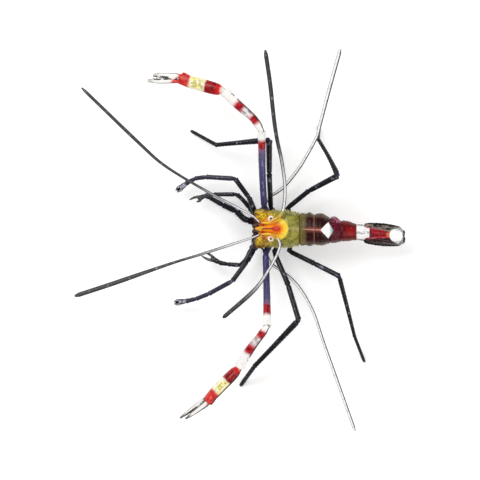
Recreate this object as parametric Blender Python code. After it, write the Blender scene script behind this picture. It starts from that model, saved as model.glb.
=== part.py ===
"""Boxer shrimp with long dark legs and banded claws, life size, standing still on its walking legs.

Lengths are in millimetres and become metres as each mesh is made. The head points along -X, the
animal's right side is +Y, up is +Z, and the tips of four walking legs stand on the floor at z = 0.
"""

import math

import bmesh
import bpy
from mathutils import Matrix, Quaternion, Vector

MM = 0.001
PARTING = 0.3
WELD = 0.00001
TUBE_RESOLUTION = 2
TRUNK_SIDES = 24
CLAW_SIDES = 12
BALL_SEGMENTS = 16
BALL_RINGS = 10
SHARP_ANGLE = 40.0
SIDES = {"right": 1, "left": -1}

# The trunk's centre line in plan: a shallow curve that leaves the straight at its crest
MIDLINE_OFFSET = 2.65
MIDLINE_CREST = 3.0
MIDLINE_BEND = 0.0016

# Trunk, front to back: place along X, half width, height of the back, height of the belly
CARAPACE = [
    (6.0, 3.5, 11.3, 6.2),
    (6.5, 4.1, 11.9, 5.7),
    (7.6, 4.42, 12.5, 5.45),
    (9.2, 4.42, 12.85, 5.4),
    (10.4, 4.33, 12.75, 5.4),
    (11.6, 4.15, 12.95, 5.4),
    (12.7, 3.95, 12.9, 5.5),
    (13.4, 3.8, 12.7, 5.7),
]
ABDOMEN = [
    (13.5, 3.72, 12.3, 6.0),
    (15.0, 3.6, 12.5, 6.0),
    (16.8, 3.5, 12.75, 5.9),
    (18.8, 3.35, 12.7, 5.8),
    (20.5, 3.0, 12.2, 5.9),
    (23.0, 2.5, 11.3, 6.1),
    (26.6, 1.86, 10.3, 6.3),
    (28.4, 1.92, 9.9, 6.2),
    (29.6, 1.8, 9.6, 6.3),
]
SOMITE_EDGES = [13.55, 14.95, 16.8, 20.5, 23.0, 26.6, 29.6]
SOMITE_SWELL = 0.035
SOMITE_SPANS = 4
SECTION_SQUARENESS = 0.9

# Beak on the front of the carapace: place along X, half width, half height, height
ROSTRUM = [
    (8.8, 0.75, 0.6, 12.3),
    (6.4, 0.72, 0.5, 12.2),
    (4.9, 0.5, 0.36, 12.35),
    (3.3, 0.24, 0.22, 12.6),
]

# Head pieces, given for the right side as (along X, out from the midline, height)
EYE_PLACE = (7.0, 2.3, 11.95)
EYE_RADIUS = 0.72
EYE_STALK = (6.0, 1.55, 11.1)
EYE_STALK_RADIUS = 0.4
ANTENNULE_BASE = [(5.2, 0.8, 9.4), (4.9, 0.85, 10.4), (4.55, 1.0, 11.2)]
ANTENNULE_BASE_GIRTH = [0.55, 0.52, 0.45]
ANTENNA_BASE = [(5.3, 2.7, 7.8), (4.9, 3.1, 7.5), (4.4, 3.5, 7.1)]
ANTENNA_BASE_GIRTH = [0.6, 0.55, 0.48]

# Flat blades: the antennal scales beside the mouth, and the five leaves of the tail fan
BLADE_THICKNESS = 0.5
BLADE_STEPS = 9
BLADE_ROOT_SHARE = 0.55
BLADE_BLUNTNESS = 0.55
SCALE = {"place": (5.65, 3.45, 9.2), "length": 2.5, "half_width": 0.95, "fullest": 0.45}
SCALE_HEADING = 176.0
SCALE_SLOPE = 14.0
TELSON = {"place": (29.85, 0.0, 8.85), "length": 7.3, "half_width": 1.28, "fullest": 0.3}
TELSON_THICKNESS = 0.9
UROPOD_INNER = {"place": (29.85, 0.98, 7.85), "length": 8.25, "half_width": 0.84, "fullest": 0.62}
UROPOD_OUTER = {"place": (29.85, 1.38, 7.0), "length": 7.6, "half_width": 1.18, "fullest": 0.35}
TAIL_SLOPE = 12.0

# Swimming legs under the first five abdominal somites: backward sweep, rise from the belly, radius
PLEOPOD_SOMITES = 5
PLEOPOD_OUT = 1.3
PLEOPOD = [(0.0, 0.9, 0.34), (0.28, -0.92, 0.46), (0.7, -2.3, 0.28)]

# Limbs: the radius at each joint, and the joints' places on each side. The last place of the
# fourth and fifth legs is where they stand on the floor.
MAXILLIPED_GIRTH = [0.6, 0.66, 0.6, 0.56, 0.5, 0.42, 0.3]
MAXILLIPED = {
    "right": [
        (4.6, 3.5, 5.0), (2.2, 4.5, 6.2), (1.2, 4.7, 6.7), (-0.8, 6.5, 7.2),
        (-3.9, 8.0, 7.3), (-6.8, 9.6, 6.9), (-8.2, 10.1, 6.6),
    ],
    "left": [
        (4.9, 1.8, 5.0), (4.0, 1.3, 5.8), (3.0, 0.8, 6.6), (2.5, 0.2, 7.1),
        (2.4, -0.5, 7.4), (2.5, -1.1, 7.5), (2.8, -1.7, 7.4),
    ],
}
KNEE = 3

LEG_1_GIRTH = [0.42, 0.42, 0.4, 0.42, 0.38, 0.4]
LEG_1 = {
    "right": [
        (4.4, 4.7, 3.8), (2.3, 7.3, 4.4), (0.2, 9.6, 5.2),
        (-0.8, 10.5, 5.4), (-5.9, 10.5, 4.6), (-8.0, 10.3, 4.2),
    ],
    "left": [
        (4.4, 0.4, 3.8), (2.6, -2.0, 4.2), (1.0, -4.8, 5.0),
        (0.1, -5.8, 5.3), (-2.7, -5.6, 4.8), (-4.8, -5.3, 4.3),
    ],
}
LEG_1_TIPS = {
    "right": [(-11.6, 9.2, 3.4), (-11.0, 8.5, 3.3)],
    "left": [(-8.8, -3.6, 3.4), (-8.3, -2.9, 3.3)],
}

LEG_2_GIRTH = [0.5, 0.5, 0.48, 0.46, 0.46, 0.42, 0.45]
LEG_2 = {
    "right": [
        (5.8, 4.6, 4.5), (3.3, 6.4, 5.8), (2.1, 9.6, 6.9), (-1.2, 14.1, 7.8),
        (-7.7, 14.5, 6.0), (-10.3, 14.2, 5.1), (-12.5, 13.0, 4.3),
    ],
    "left": [
        (5.8, 0.6, 4.5), (3.2, -1.8, 5.8), (1.7, -4.7, 6.9), (-1.8, -9.4, 7.8),
        (-7.1, -12.3, 6.0), (-10.0, -13.5, 5.1), (-12.5, -14.1, 4.3),
    ],
}
LEG_2_TIPS = {
    "right": [(-15.0, 11.6, 3.4), (-14.4, 10.9, 3.4)],
    "left": [(-15.2, -14.0, 3.4), (-15.2, -14.9, 3.4)],
}

# Fingers of the small claws, as shares of the hand's radius except the tip
FINGER_ROOT_INSIDE = 0.12
FINGER_ASIDE = 0.5
FINGER_ROOT_GIRTH = 0.6
FINGER_MIDDLE_GIRTH = 0.75
FINGER_TIP_RADIUS = 0.25

CLAW_LEG_GIRTH = [0.7, 0.75, 0.76, 0.82, 0.95, 0.9, 1.08, 1.1]
CLAW_LEG = {
    "right": [
        (8.0, 4.3, 4.3), (6.6, 6.0, 5.5), (5.5, 7.4, 6.7), (5.05, 15.5, 9.7),
        (4.9, 25.0, 13.0), (3.4, 27.4, 13.1), (-0.6, 31.1, 12.9), (-3.65, 34.15, 12.5),
    ],
    "left": [
        (8.0, 0.9, 4.3), (6.9, -0.9, 5.5), (5.8, -2.9, 6.7), (6.05, -11.2, 10.3),
        (6.15, -19.8, 14.2), (4.75, -21.8, 13.6), (1.9, -25.6, 12.1), (-0.1, -29.2, 10.6),
    ],
}
CLAW_ELBOW = 4
CLAW_WRIST = 7

# Big claws: the knuckle's and finger tips' places, and the sections of the palm and of a finger
# as shares of its length. A finger's sections stand out from the claw's centre line.
KNUCKLE = {"right": (-13.85, 37.0, 10.6), "left": (-7.8, -37.1, 9.4)}
FINGER_END = {"right": (-20.9, 37.3, 9.6), "left": (-13.45, -41.2, 8.8)}
CLAW_ROLL = {"right": 0.0, "left": 45.0}
PALM_LENGTHS = [0.03, 0.2, 0.5, 0.8, 1.0]
PALM_HALF_WIDTHS = [1.05, 1.35, 1.45, 1.45, 1.38]
PALM_HALF_DEPTHS = [0.85, 1.02, 1.1, 1.05, 0.95]
FINGER_LENGTHS = [0.02, 0.35, 0.7, 1.0]
FINGER_OUT = [0.67, 0.66, 0.62, 0.5]
FINGER_HALF_WIDTHS = [0.52, 0.5, 0.46, 0.3]
FINGER_HALF_DEPTHS = [0.7, 0.55, 0.45, 0.28]
DACTYL_START = 0.07
DACTYL_REACH = 0.88

LEG_4_GIRTH = [0.5, 0.52, 0.55, 0.5, 0.46, 0.4, 0.3]
LEG_4 = {
    "right": [
        (10.0, 4.3, 3.9), (7.0, 7.3, 4.3), (6.65, 15.0, 7.3), (6.6, 23.0, 9.3),
        (-0.1, 22.4, 7.2), (-5.6, 21.9, 5.0), (-11.3, 25.1, 0.0),
    ],
    "left": [
        (10.0, 0.9, 3.9), (7.8, -2.8, 4.6), (10.9, -10.1, 7.2), (13.4, -18.4, 9.2),
        (8.2, -23.9, 6.8), (3.3, -29.0, 4.4), (0.1, -33.5, 0.0),
    ],
}

LEG_5_GIRTH = [0.5, 0.52, 0.52, 0.5, 0.46, 0.4, 0.3]
LEG_5 = {
    "right": [
        (11.8, 4.3, 4.2), (10.9, 7.4, 5.4), (15.6, 11.2, 7.9), (22.4, 14.8, 10.5),
        (20.7, 18.4, 7.8), (17.9, 23.3, 3.6), (18.1, 26.2, 0.0),
    ],
    "left": [
        (11.8, 0.9, 4.2), (11.3, -2.6, 5.4), (16.8, -5.3, 8.2), (22.7, -8.3, 10.9),
        (25.2, -17.9, 6.6), (26.3, -22.2, 4.4), (28.6, -28.0, 0.0),
    ],
}
FOOT_OVERRUN = 0.5

# Feelers: knots from base to tip, the radius at the base and at the tip, and how far along the
# base length ends and the tip length begins
FEELER_STEP = 1.9
FEELER_SPANS = 12
FEELERS = {
    "antennule_inner_right": {
        "knots": [
            (4.3, 4.1, 11.55), (2.9, 5.5, 11.9), (-1.2, 7.7, 12.2), (-9.3, 12.1, 12.4),
            (-17.4, 17.1, 12.2), (-23.1, 22.1, 11.8), (-36.5, 35.0, 10.5),
        ],
        "girth": (0.36, 0.26),
        "parted": 17.0,
    },
    "antennule_outer_right": {
        "knots": [
            (4.95, 3.95, 12.15), (5.7, 3.95, 12.7), (7.0, 4.1, 13.15), (8.6, 5.0, 13.2), (9.8, 6.9, 12.9),
            (10.25, 11.8, 12.5), (9.6, 17.6, 12.2), (7.9, 26.4, 11.6), (6.1, 43.7, 10.5),
        ],
        "girth": (0.34, 0.38),
        "parted": 12.0,
    },
    "antenna_right": {
        "knots": [
            (4.05, 6.85, 6.7), (3.75, 7.7, 5.8), (4.85, 8.75, 4.65), (7.2, 10.2, 3.8), (9.5, 11.8, 4.2),
            (11.2, 13.6, 5.2), (14.05, 17.4, 6.6), (17.5, 23.6, 8.0), (18.3, 26.45, 8.2), (22.8, 44.0, 8.4),
        ],
        "girth": (0.42, 0.32),
        "parted": 19.0,
    },
    "antennule_inner_left": {
        "knots": [
            (4.2, 1.2, 11.55), (3.2, 0.7, 11.8), (-2.7, -1.25, 12.1), (-9.2, -3.35, 12.2),
            (-17.4, -5.9, 11.9), (-38.0, -13.1, 10.0),
        ],
        "girth": (0.36, 0.3),
        "parted": 17.0,
    },
    "antennule_outer_left": {
        "knots": [
            (4.9, 1.35, 12.15), (5.7, 1.4, 12.7), (7.4, 1.25, 13.2), (8.8, 0.0, 13.2), (9.05, -1.5, 12.9),
            (8.3, -3.5, 12.5), (7.0, -6.0, 12.2), (3.3, -11.4, 11.6), (-4.0, -17.9, 10.6),
        ],
        "girth": (0.34, 0.28),
        "parted": 11.0,
    },
    "antenna_left": {
        "knots": [
            (4.3, -1.7, 6.7), (4.1, -2.5, 5.9), (5.0, -3.5, 4.9), (7.9, -6.1, 4.2), (9.6, -7.2, 4.5),
            (13.2, -10.5, 5.6), (16.7, -16.4, 6.8), (19.6, -24.9, 7.6), (26.4, -44.0, 8.0),
        ],
        "girth": (0.4, 0.25),
        "parted": 19.0,
    },
}

# Finishes: base colour and roughness; nothing on the animal is metallic
FINISHES = {
    "olive_shell": ((0.22, 0.24, 0.05), 0.35),
    "maroon_shell": ((0.16, 0.02, 0.02), 0.3),
    "red_shell": ((0.45, 0.01, 0.02), 0.3),
    "white_shell": ((0.86, 0.84, 0.8), 0.35),
    "dark_fan": ((0.07, 0.05, 0.05), 0.35),
    "orange_head": ((0.75, 0.3, 0.03), 0.35),
    "cream_eye": ((0.85, 0.75, 0.5), 0.15),
    "navy_limb": ((0.03, 0.03, 0.07), 0.3),
    "blue_limb": ((0.07, 0.07, 0.25), 0.3),
    "red_limb": ((0.6, 0.03, 0.03), 0.3),
    "pale_feeler": ((0.6, 0.58, 0.6), 0.4),
    "grey_feeler": ((0.06, 0.06, 0.065), 0.4),
}


def clear_scene():
    for old in list(bpy.data.objects):
        bpy.data.objects.remove(old, do_unlink=True)


def new_collection(name):
    collection = bpy.data.collections.new(name)
    bpy.context.scene.collection.children.link(collection)
    return collection


def make_finishes():
    finishes = {}
    for name, (colour, roughness) in FINISHES.items():
        material = bpy.data.materials.new(name)
        material.use_nodes = True
        shader = material.node_tree.nodes["Principled BSDF"]
        shader.inputs["Base Color"].default_value = (*colour, 1)
        shader.inputs["Roughness"].default_value = roughness
        shader.inputs["Metallic"].default_value = 0
        finishes[name] = material
    return finishes


def midline(x):
    """The trunk's centre line seen from above, bending a little to the left towards the tail."""
    return MIDLINE_OFFSET - MIDLINE_BEND * (x - MIDLINE_CREST) ** 2


def beside(place, side):
    """A head or tail place given out from the midline, as a point on the asked side."""
    x, out, z = place
    return Vector((x, midline(x) + SIDES[side] * out, z))


def smooth_row(knots, spans):
    """Catmull-Rom points through rows of numbers, with so many spans between each two."""
    ends = [[2 * a - b for a, b in zip(knots[i], knots[j])] for i, j in ((0, 1), (-1, -2))]
    padded = [ends[0], *knots, ends[1]]
    row = []
    for before, one, two, after in zip(padded, padded[1:], padded[2:], padded[3:]):
        for step in range(spans):
            t = step / spans
            place = []
            for a, b, c, d in zip(before, one, two, after):
                steady = 2 * b + (c - a) * t
                bending = (2 * a - 5 * b + 4 * c - d) * t**2 + (3 * b - a - 3 * c + d) * t**3
                place.append((steady + bending) / 2)
            row.append(place)
    row.append(list(knots[-1]))
    return row


def value_at(stations, x):
    """The stations' other numbers at a place along X."""
    for one, two in zip(stations, stations[1:]):
        if x <= two[0]:
            break
    share = (x - one[0]) / (two[0] - one[0])
    return [a + (b - a) * share for a, b in zip(one[1:], two[1:])]


def mesh_object(name, bm):
    mesh = bpy.data.meshes.new(name)
    bmesh.ops.recalc_face_normals(bm, faces=bm.faces)
    bm.to_mesh(mesh)
    bm.free()
    obj = bpy.data.objects.new(name, mesh)
    bpy.context.scene.collection.objects.link(obj)
    return obj


def loft(name, rings):
    """A closed body through rings of the same number of points, capped at both ends."""
    bm = bmesh.new()
    rows = [[bm.verts.new(Vector(point) * MM) for point in ring] for ring in rings]
    for one, two in zip(rows, rows[1:]):
        for k in range(len(one)):
            after = (k + 1) % len(one)
            bm.faces.new((one[k], one[after], two[after], two[k]))
    bm.faces.new(rows[0])
    bm.faces.new(rows[-1])
    return mesh_object(name, bm)


def oval(centre, across, up, sides, squareness=1.0):
    """Points of an oval about a centre, from its two half axes."""
    points = []
    for k in range(sides):
        angle = 2 * math.pi * k / sides
        c, s = math.cos(angle), math.sin(angle)
        reach_c = math.copysign(abs(c) ** squareness, c)
        reach_s = math.copysign(abs(s) ** squareness, s)
        points.append(Vector(centre) + Vector(across) * reach_c + Vector(up) * reach_s)
    return points


def trunk_ring(x, half_width, back, belly):
    centre = (x, midline(x), (back + belly) / 2)
    up = (0, 0, (back - belly) / 2)
    return oval(centre, (0, half_width, 0), up, TRUNK_SIDES, SECTION_SQUARENESS)


def evaluated_mesh(obj):
    """The object as one welded mesh object of the same name; the object itself is removed."""
    bpy.context.view_layer.update()
    graph = bpy.context.evaluated_depsgraph_get()
    mesh = bpy.data.meshes.new_from_object(obj.evaluated_get(graph))
    mesh.transform(obj.matrix_world)
    name = obj.name
    bpy.data.objects.remove(obj, do_unlink=True)
    bm = bmesh.new()
    bm.from_mesh(mesh)
    bmesh.ops.remove_doubles(bm, verts=bm.verts, dist=WELD)
    bpy.data.meshes.remove(mesh)
    return mesh_object(name, bm)


def combine(obj, tool, operation):
    """Joins another shape to a piece, or cuts it away, and removes that shape."""
    modifier = obj.modifiers.new(operation.lower(), "BOOLEAN")
    modifier.operation = operation
    modifier.solver = "EXACT"
    modifier.object = tool
    result = evaluated_mesh(obj)
    bpy.data.objects.remove(tool, do_unlink=True)
    return result


def tube(name, points, girths):
    """A round limb or feeler through its points, with a radius at each."""
    curve = bpy.data.curves.new(name, "CURVE")
    curve.dimensions = "3D"
    curve.bevel_depth = MM
    curve.bevel_resolution = TUBE_RESOLUTION
    curve.use_fill_caps = True
    spline = curve.splines.new("POLY")
    spline.points.add(len(points) - 1)
    for knot, place, girth in zip(spline.points, points, girths):
        knot.co = (*(Vector(place) * MM), 1)
        knot.radius = girth
    obj = bpy.data.objects.new(name, curve)
    bpy.context.scene.collection.objects.link(obj)
    return evaluated_mesh(obj)


def trim(obj, place, keep_side):
    """Cuts a piece off flat at a place and keeps the part on the side that keep_side points to."""
    bm = bmesh.new()
    bm.from_mesh(obj.data)
    geometry = [*bm.verts, *bm.edges, *bm.faces]
    at, away = Vector(place) * MM, -Vector(keep_side)
    cut = bmesh.ops.bisect_plane(
        bm, geom=geometry, dist=WELD * MM, plane_co=at, plane_no=away, clear_outer=True
    )
    rim = [item for item in cut["geom_cut"] if isinstance(item, bmesh.types.BMEdge)]
    bmesh.ops.contextual_create(bm, geom=rim)
    bmesh.ops.recalc_face_normals(bm, faces=bm.faces)
    bm.to_mesh(obj.data)
    bm.free()
    return obj


def parted_tube(names, points, girths, partings, on_floor=False):
    """One tube divided into named lengths at the points numbered in partings.

    Neighbouring lengths meet on the plane that halves the bend, with a thin gap between them.
    A limb that stands on the floor runs a little past it and is cut off flat there.
    """
    points = [Vector(point) for point in points]
    girths = list(girths)
    if on_floor:
        down = (points[-1] - points[-2]).normalized()
        points.append(points[-1] + down * FOOT_OVERRUN)
        girths.append(girths[-1])
    stops = [0, *partings, len(points) - 1]
    pieces = []
    for name, first, last in zip(names, stops, stops[1:]):
        path = points[first:last + 1]
        widths = girths[first:last + 1]
        planes = []
        for at, along in ((first, 1), (last, -1)):
            if at in (0, len(points) - 1):
                continue
            coming = (points[at] - points[at - 1]).normalized()
            going = (points[at + 1] - points[at]).normalized()
            halving = (coming + going).normalized() * along
            bend = coming.angle(going)
            own = (going if along == 1 else -coming) * (girths[at] * math.tan(bend / 2) + PARTING)
            planes.append((points[at] + halving * PARTING / 2, halving))
            if along == 1:
                path[0] = points[at] - own
            else:
                path[-1] = points[at] - own
        piece = tube(name, path, widths)
        for place, keep_side in planes:
            trim(piece, place, keep_side)
        if on_floor and last == len(points) - 1:
            trim(piece, (0, 0, 0), (0, 0, 1))
        pieces.append(piece)
    return pieces


def ball(name, centre, radius):
    bpy.ops.mesh.primitive_uv_sphere_add(
        segments=BALL_SEGMENTS, ring_count=BALL_RINGS, radius=radius * MM, location=centre * MM
    )
    bpy.context.object.name = name
    return evaluated_mesh(bpy.context.object)


def carapace():
    """Head and thorax shell, with the rostrum grown on and a hollow for each eye and its stalk."""
    shell = loft("carapace", [trunk_ring(*station) for station in smooth_row(CARAPACE, 2)])
    beak = [oval((x, midline(x), z), (0, wide, 0), (0, 0, high), CLAW_SIDES) for x, wide, high, z in ROSTRUM]
    shell = combine(shell, loft("rostrum", beak), "UNION")
    for side in SIDES:
        centre, stalk_foot = beside(EYE_PLACE, side), beside(EYE_STALK, side)
        shell = combine(shell, ball("socket", centre, EYE_RADIUS + PARTING), "DIFFERENCE")
        channel_end = stalk_foot + (stalk_foot - centre)
        width = EYE_STALK_RADIUS + PARTING
        shell = combine(shell, tube("channel", [centre, channel_end], [width, width]), "DIFFERENCE")
    return shell


def eye(side):
    """An eyeball with its stalk."""
    centre = beside(EYE_PLACE, side)
    girths = [EYE_STALK_RADIUS, EYE_STALK_RADIUS]
    stalk = tube("stalk", [centre, beside(EYE_STALK, side)], girths)
    return combine(ball(f"eye_{side}", centre, EYE_RADIUS), stalk, "UNION")


def somite(number):
    """One ring of the abdomen; the first five carry a pair of swimming legs."""
    front, rear = SOMITE_EDGES[number - 1:number + 1]
    first, last = front + PARTING / 2, rear - PARTING / 2
    rings = []
    for step in range(SOMITE_SPANS + 1):
        share = step / SOMITE_SPANS
        x = first + (last - first) * share
        half_width, back, belly = value_at(ABDOMEN, x)
        swell = 1 + SOMITE_SWELL * math.sin(math.pi * share)
        rings.append(trunk_ring(x, half_width * swell, back, belly))
    ring = loft(f"abdomen_{number}", rings)
    if number <= PLEOPOD_SOMITES:
        middle = (first + last) / 2
        belly = value_at(ABDOMEN, middle)[2]
        for side in SIDES:
            places = [(middle + sweep, PLEOPOD_OUT, belly + rise) for sweep, rise, radius in PLEOPOD]
            path = [beside(place, side) for place in places]
            girths = [radius for sweep, rise, radius in PLEOPOD]
            ring = combine(ring, tube("pleopod", path, girths), "UNION")
    return ring


def leaf(name, shape, thickness):
    """A flat leaf lying along +X from its base: widest at the share of its length called fullest."""
    fullest = shape["fullest"]
    edge = []
    for step in range(BLADE_STEPS + 1):
        share = step / BLADE_STEPS
        if share < fullest:
            width = BLADE_ROOT_SHARE + (1 - BLADE_ROOT_SHARE) * math.sin(math.pi / 2 * share / fullest)
        else:
            width = (1 - ((share - fullest) / (1 - fullest)) ** 2) ** BLADE_BLUNTNESS
        edge.append((shape["length"] * share, shape["half_width"] * width))
    outline = edge + [(x, -y) for x, y in reversed(edge[:-1])]
    curve = bpy.data.curves.new(name, "CURVE")
    curve.dimensions = "2D"
    curve.fill_mode = "BOTH"
    curve.extrude = thickness / 2 * MM
    spline = curve.splines.new("POLY")
    spline.points.add(len(outline) - 1)
    for knot, (x, y) in zip(spline.points, outline):
        knot.co = (x * MM, y * MM, 0, 1)
    spline.use_cyclic_u = True
    obj = bpy.data.objects.new(name, curve)
    bpy.context.scene.collection.objects.link(obj)
    return obj


def lay(obj, place, heading, slope):
    """Turns a leaf to a heading in plan, tips it down by the slope and sets its base at a place."""
    turn = Matrix.Rotation(math.radians(heading), 4, "Z") @ Matrix.Rotation(math.radians(slope), 4, "Y")
    obj.matrix_world = Matrix.Translation(Vector(place) * MM) @ turn
    return evaluated_mesh(obj)


def tail_blade(name, shape, side, thickness=BLADE_THICKNESS):
    """One leaf of the tail fan, in line with the end of the abdomen."""
    root, length = shape["place"][0], shape["length"]
    heading = math.degrees(math.atan2(midline(root + length) - midline(root), length))
    return lay(leaf(name, shape, thickness), beside(shape["place"], side), heading, TAIL_SLOPE)


def antennal_scale(side):
    blade = leaf(f"antennal_scale_{side}", SCALE, BLADE_THICKNESS)
    return lay(blade, beside(SCALE["place"], side), SIDES[side] * SCALE_HEADING, SCALE_SLOPE)


def finger(knuckle, tip, other_tip, girth):
    """One thin finger, rooted off the hand's centre and a little inside it."""
    knuckle, tip, other_tip = Vector(knuckle), Vector(tip), Vector(other_tip)
    aside = (tip - other_tip).normalized() * girth * FINGER_ASIDE
    root = knuckle.lerp(tip, -FINGER_ROOT_INSIDE) + aside
    middle = knuckle.lerp(tip, 0.5) + aside / 2
    girths = [girth * FINGER_ROOT_GIRTH, girth * FINGER_MIDDLE_GIRTH, FINGER_TIP_RADIUS]
    return tube("finger", [root, middle, tip], girths)


def walking_leg(number, side, joints, girths):
    """A leg that ends in a point on the floor, in an upper and a lower length."""
    names = [f"leg_{number}_{side}_upper", f"leg_{number}_{side}_lower"]
    return parted_tube(names, joints, girths, [KNEE], on_floor=True)


def small_leg(number, side, joints, girths, tips):
    """A slender leg with a small claw: an upper length, and a lower one that ends in the claw."""
    names = [f"leg_{number}_{side}_upper", f"leg_{number}_{side}_lower"]
    upper, lower = parted_tube(names, joints, girths, [KNEE])
    for tip, other_tip in (tips, tips[::-1]):
        lower = combine(lower, finger(joints[-1], tip, other_tip, girths[-1]), "UNION")
    return [upper, lower]


def claw_rings(start, end, inward, shares, outs, half_widths, half_depths):
    """Oval sections at shares of a line, each moved out along the claw's width."""
    along = (end - start).normalized()
    up = along.cross(inward).normalized()
    rings = []
    for share, out, half_width, half_depth in zip(shares, outs, half_widths, half_depths):
        centre = start.lerp(end, share) + inward * out
        rings.append(oval(centre, inward * half_width, up * half_depth, CLAW_SIDES))
    return rings


def big_claw(side):
    """The palm with its fixed finger as one piece, and the movable finger as another."""
    wrist, knuckle, tip = Vector(CLAW_LEG[side][-1]), Vector(KNUCKLE[side]), Vector(FINGER_END[side])
    along = (knuckle - wrist).normalized()
    inward = Vector((0, 0, 1)).cross(along).normalized() * SIDES[side]
    inward.rotate(Quaternion(along, math.radians(CLAW_ROLL[side])))
    middle = [0.0] * len(PALM_LENGTHS)
    palm = claw_rings(wrist, knuckle, inward, PALM_LENGTHS, middle, PALM_HALF_WIDTHS, PALM_HALF_DEPTHS)
    girths = (FINGER_HALF_WIDTHS, FINGER_HALF_DEPTHS)
    fixed = claw_rings(knuckle, tip, inward, FINGER_LENGTHS, FINGER_OUT, *girths)
    shares = [DACTYL_START, *(share * DACTYL_REACH for share in FINGER_LENGTHS[1:])]
    moving = claw_rings(knuckle, tip, inward, shares, [-out for out in FINGER_OUT], *girths)
    return [loft(f"claw_{side}_palm", palm + fixed), loft(f"claw_{side}_finger", moving)]


def claw_leg(side):
    """The big claw's arm; a spare length past the wrist only sets the angle that the wrist is cut at."""
    joints = [*CLAW_LEG[side], KNUCKLE[side]]
    girths = [*CLAW_LEG_GIRTH, CLAW_LEG_GIRTH[-1]]
    names = [f"claw_{side}_merus", f"claw_{side}_carpus", "spare"]
    merus, carpus, spare = parted_tube(names, joints, girths, [CLAW_ELBOW, CLAW_WRIST])
    bpy.data.objects.remove(spare, do_unlink=True)
    return [merus, carpus]


def feeler(name, shape):
    """One whip of an antennule or antenna, tapering evenly, in a base length and a tip length."""
    path = [Vector(point) for point in smooth_row(shape["knots"], FEELER_SPANS)]
    lengths = [0.0]
    for one, two in zip(path, path[1:]):
        lengths.append(lengths[-1] + (two - one).length)
    total = lengths[-1]
    count = round(total / FEELER_STEP)
    points, girths = [], []
    for step in range(count + 1):
        wanted = total * step / count
        at = max(k for k in range(len(path) - 1) if lengths[k] <= wanted)
        share = (wanted - lengths[at]) / (lengths[at + 1] - lengths[at])
        points.append(path[at].lerp(path[at + 1], share))
        thick, thin = shape["girth"]
        girths.append(thick + (thin - thick) * step / count)
    parting = round(shape["parted"] / total * count)
    return parted_tube([f"{name}_base", f"{name}_tip"], points, girths, [parting])


def centre_on_floor(pieces):
    """Moves every mesh alike, so that the model's box is centred over the origin."""
    corners = [vertex.co for piece in pieces for vertex in piece.data.vertices]
    low = [min(corner[axis] for corner in corners) for axis in range(3)]
    high = [max(corner[axis] for corner in corners) for axis in range(3)]
    shift = Vector((-(low[0] + high[0]) / 2, -(low[1] + high[1]) / 2, -low[2]))
    for piece in pieces:
        piece.data.transform(Matrix.Translation(shift))


def build():
    clear_scene()
    finishes = make_finishes()
    painted = {}

    def add(finish, *pieces):
        for piece in pieces:
            painted[piece.name] = finish

    add("olive_shell", carapace())
    for number in range(1, len(SOMITE_EDGES)):
        finish = {5: "red_shell", 6: "white_shell"}.get(number, "maroon_shell")
        add(finish, somite(number))
    add("red_shell", tail_blade("telson", TELSON, "right", TELSON_THICKNESS))
    for side in SIDES:
        add("white_shell", tail_blade(f"uropod_inner_{side}", UROPOD_INNER, side))
        add("dark_fan", tail_blade(f"uropod_outer_{side}", UROPOD_OUTER, side))
        add("cream_eye", eye(side))
        stem = [beside(place, side) for place in ANTENNULE_BASE]
        add("red_shell", tube(f"antennule_base_{side}", stem, ANTENNULE_BASE_GIRTH))
        stem = [beside(place, side) for place in ANTENNA_BASE]
        add("orange_head", tube(f"antenna_base_{side}", stem, ANTENNA_BASE_GIRTH))
        add("orange_head", antennal_scale(side))
        add("navy_limb", *small_leg(1, side, LEG_1[side], LEG_1_GIRTH, LEG_1_TIPS[side]))
        add("navy_limb", *small_leg(2, side, LEG_2[side], LEG_2_GIRTH, LEG_2_TIPS[side]))
        merus, carpus = claw_leg(side)
        add("blue_limb", merus)
        add("red_limb", carpus, *big_claw(side))
        add("navy_limb", *walking_leg(4, side, LEG_4[side], LEG_4_GIRTH))
        add("navy_limb", *walking_leg(5, side, LEG_5[side], LEG_5_GIRTH))
    names = ["maxilliped_right_upper", "maxilliped_right_lower"]
    add("navy_limb", *parted_tube(names, MAXILLIPED["right"], MAXILLIPED_GIRTH, [KNEE]))
    add("navy_limb", tube("maxilliped_left", MAXILLIPED["left"], MAXILLIPED_GIRTH))
    for name, shape in FEELERS.items():
        base, tip = feeler(name, shape)
        add("pale_feeler", base)
        add("grey_feeler", tip)

    pieces = [bpy.data.objects[name] for name in painted]
    collection = new_collection("boxer_shrimp")
    for piece in pieces:
        bpy.context.scene.collection.objects.unlink(piece)
        collection.objects.link(piece)
        piece.data.materials.append(finishes[painted[piece.name]])
        piece.data.shade_smooth()
        piece.data.set_sharp_from_angle(angle=math.radians(SHARP_ANGLE))
    centre_on_floor(pieces)


build()
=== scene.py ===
import math

import bmesh
import bpy
import numpy as np
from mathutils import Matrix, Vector
from mathutils.bvhtree import BVHTree


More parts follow.
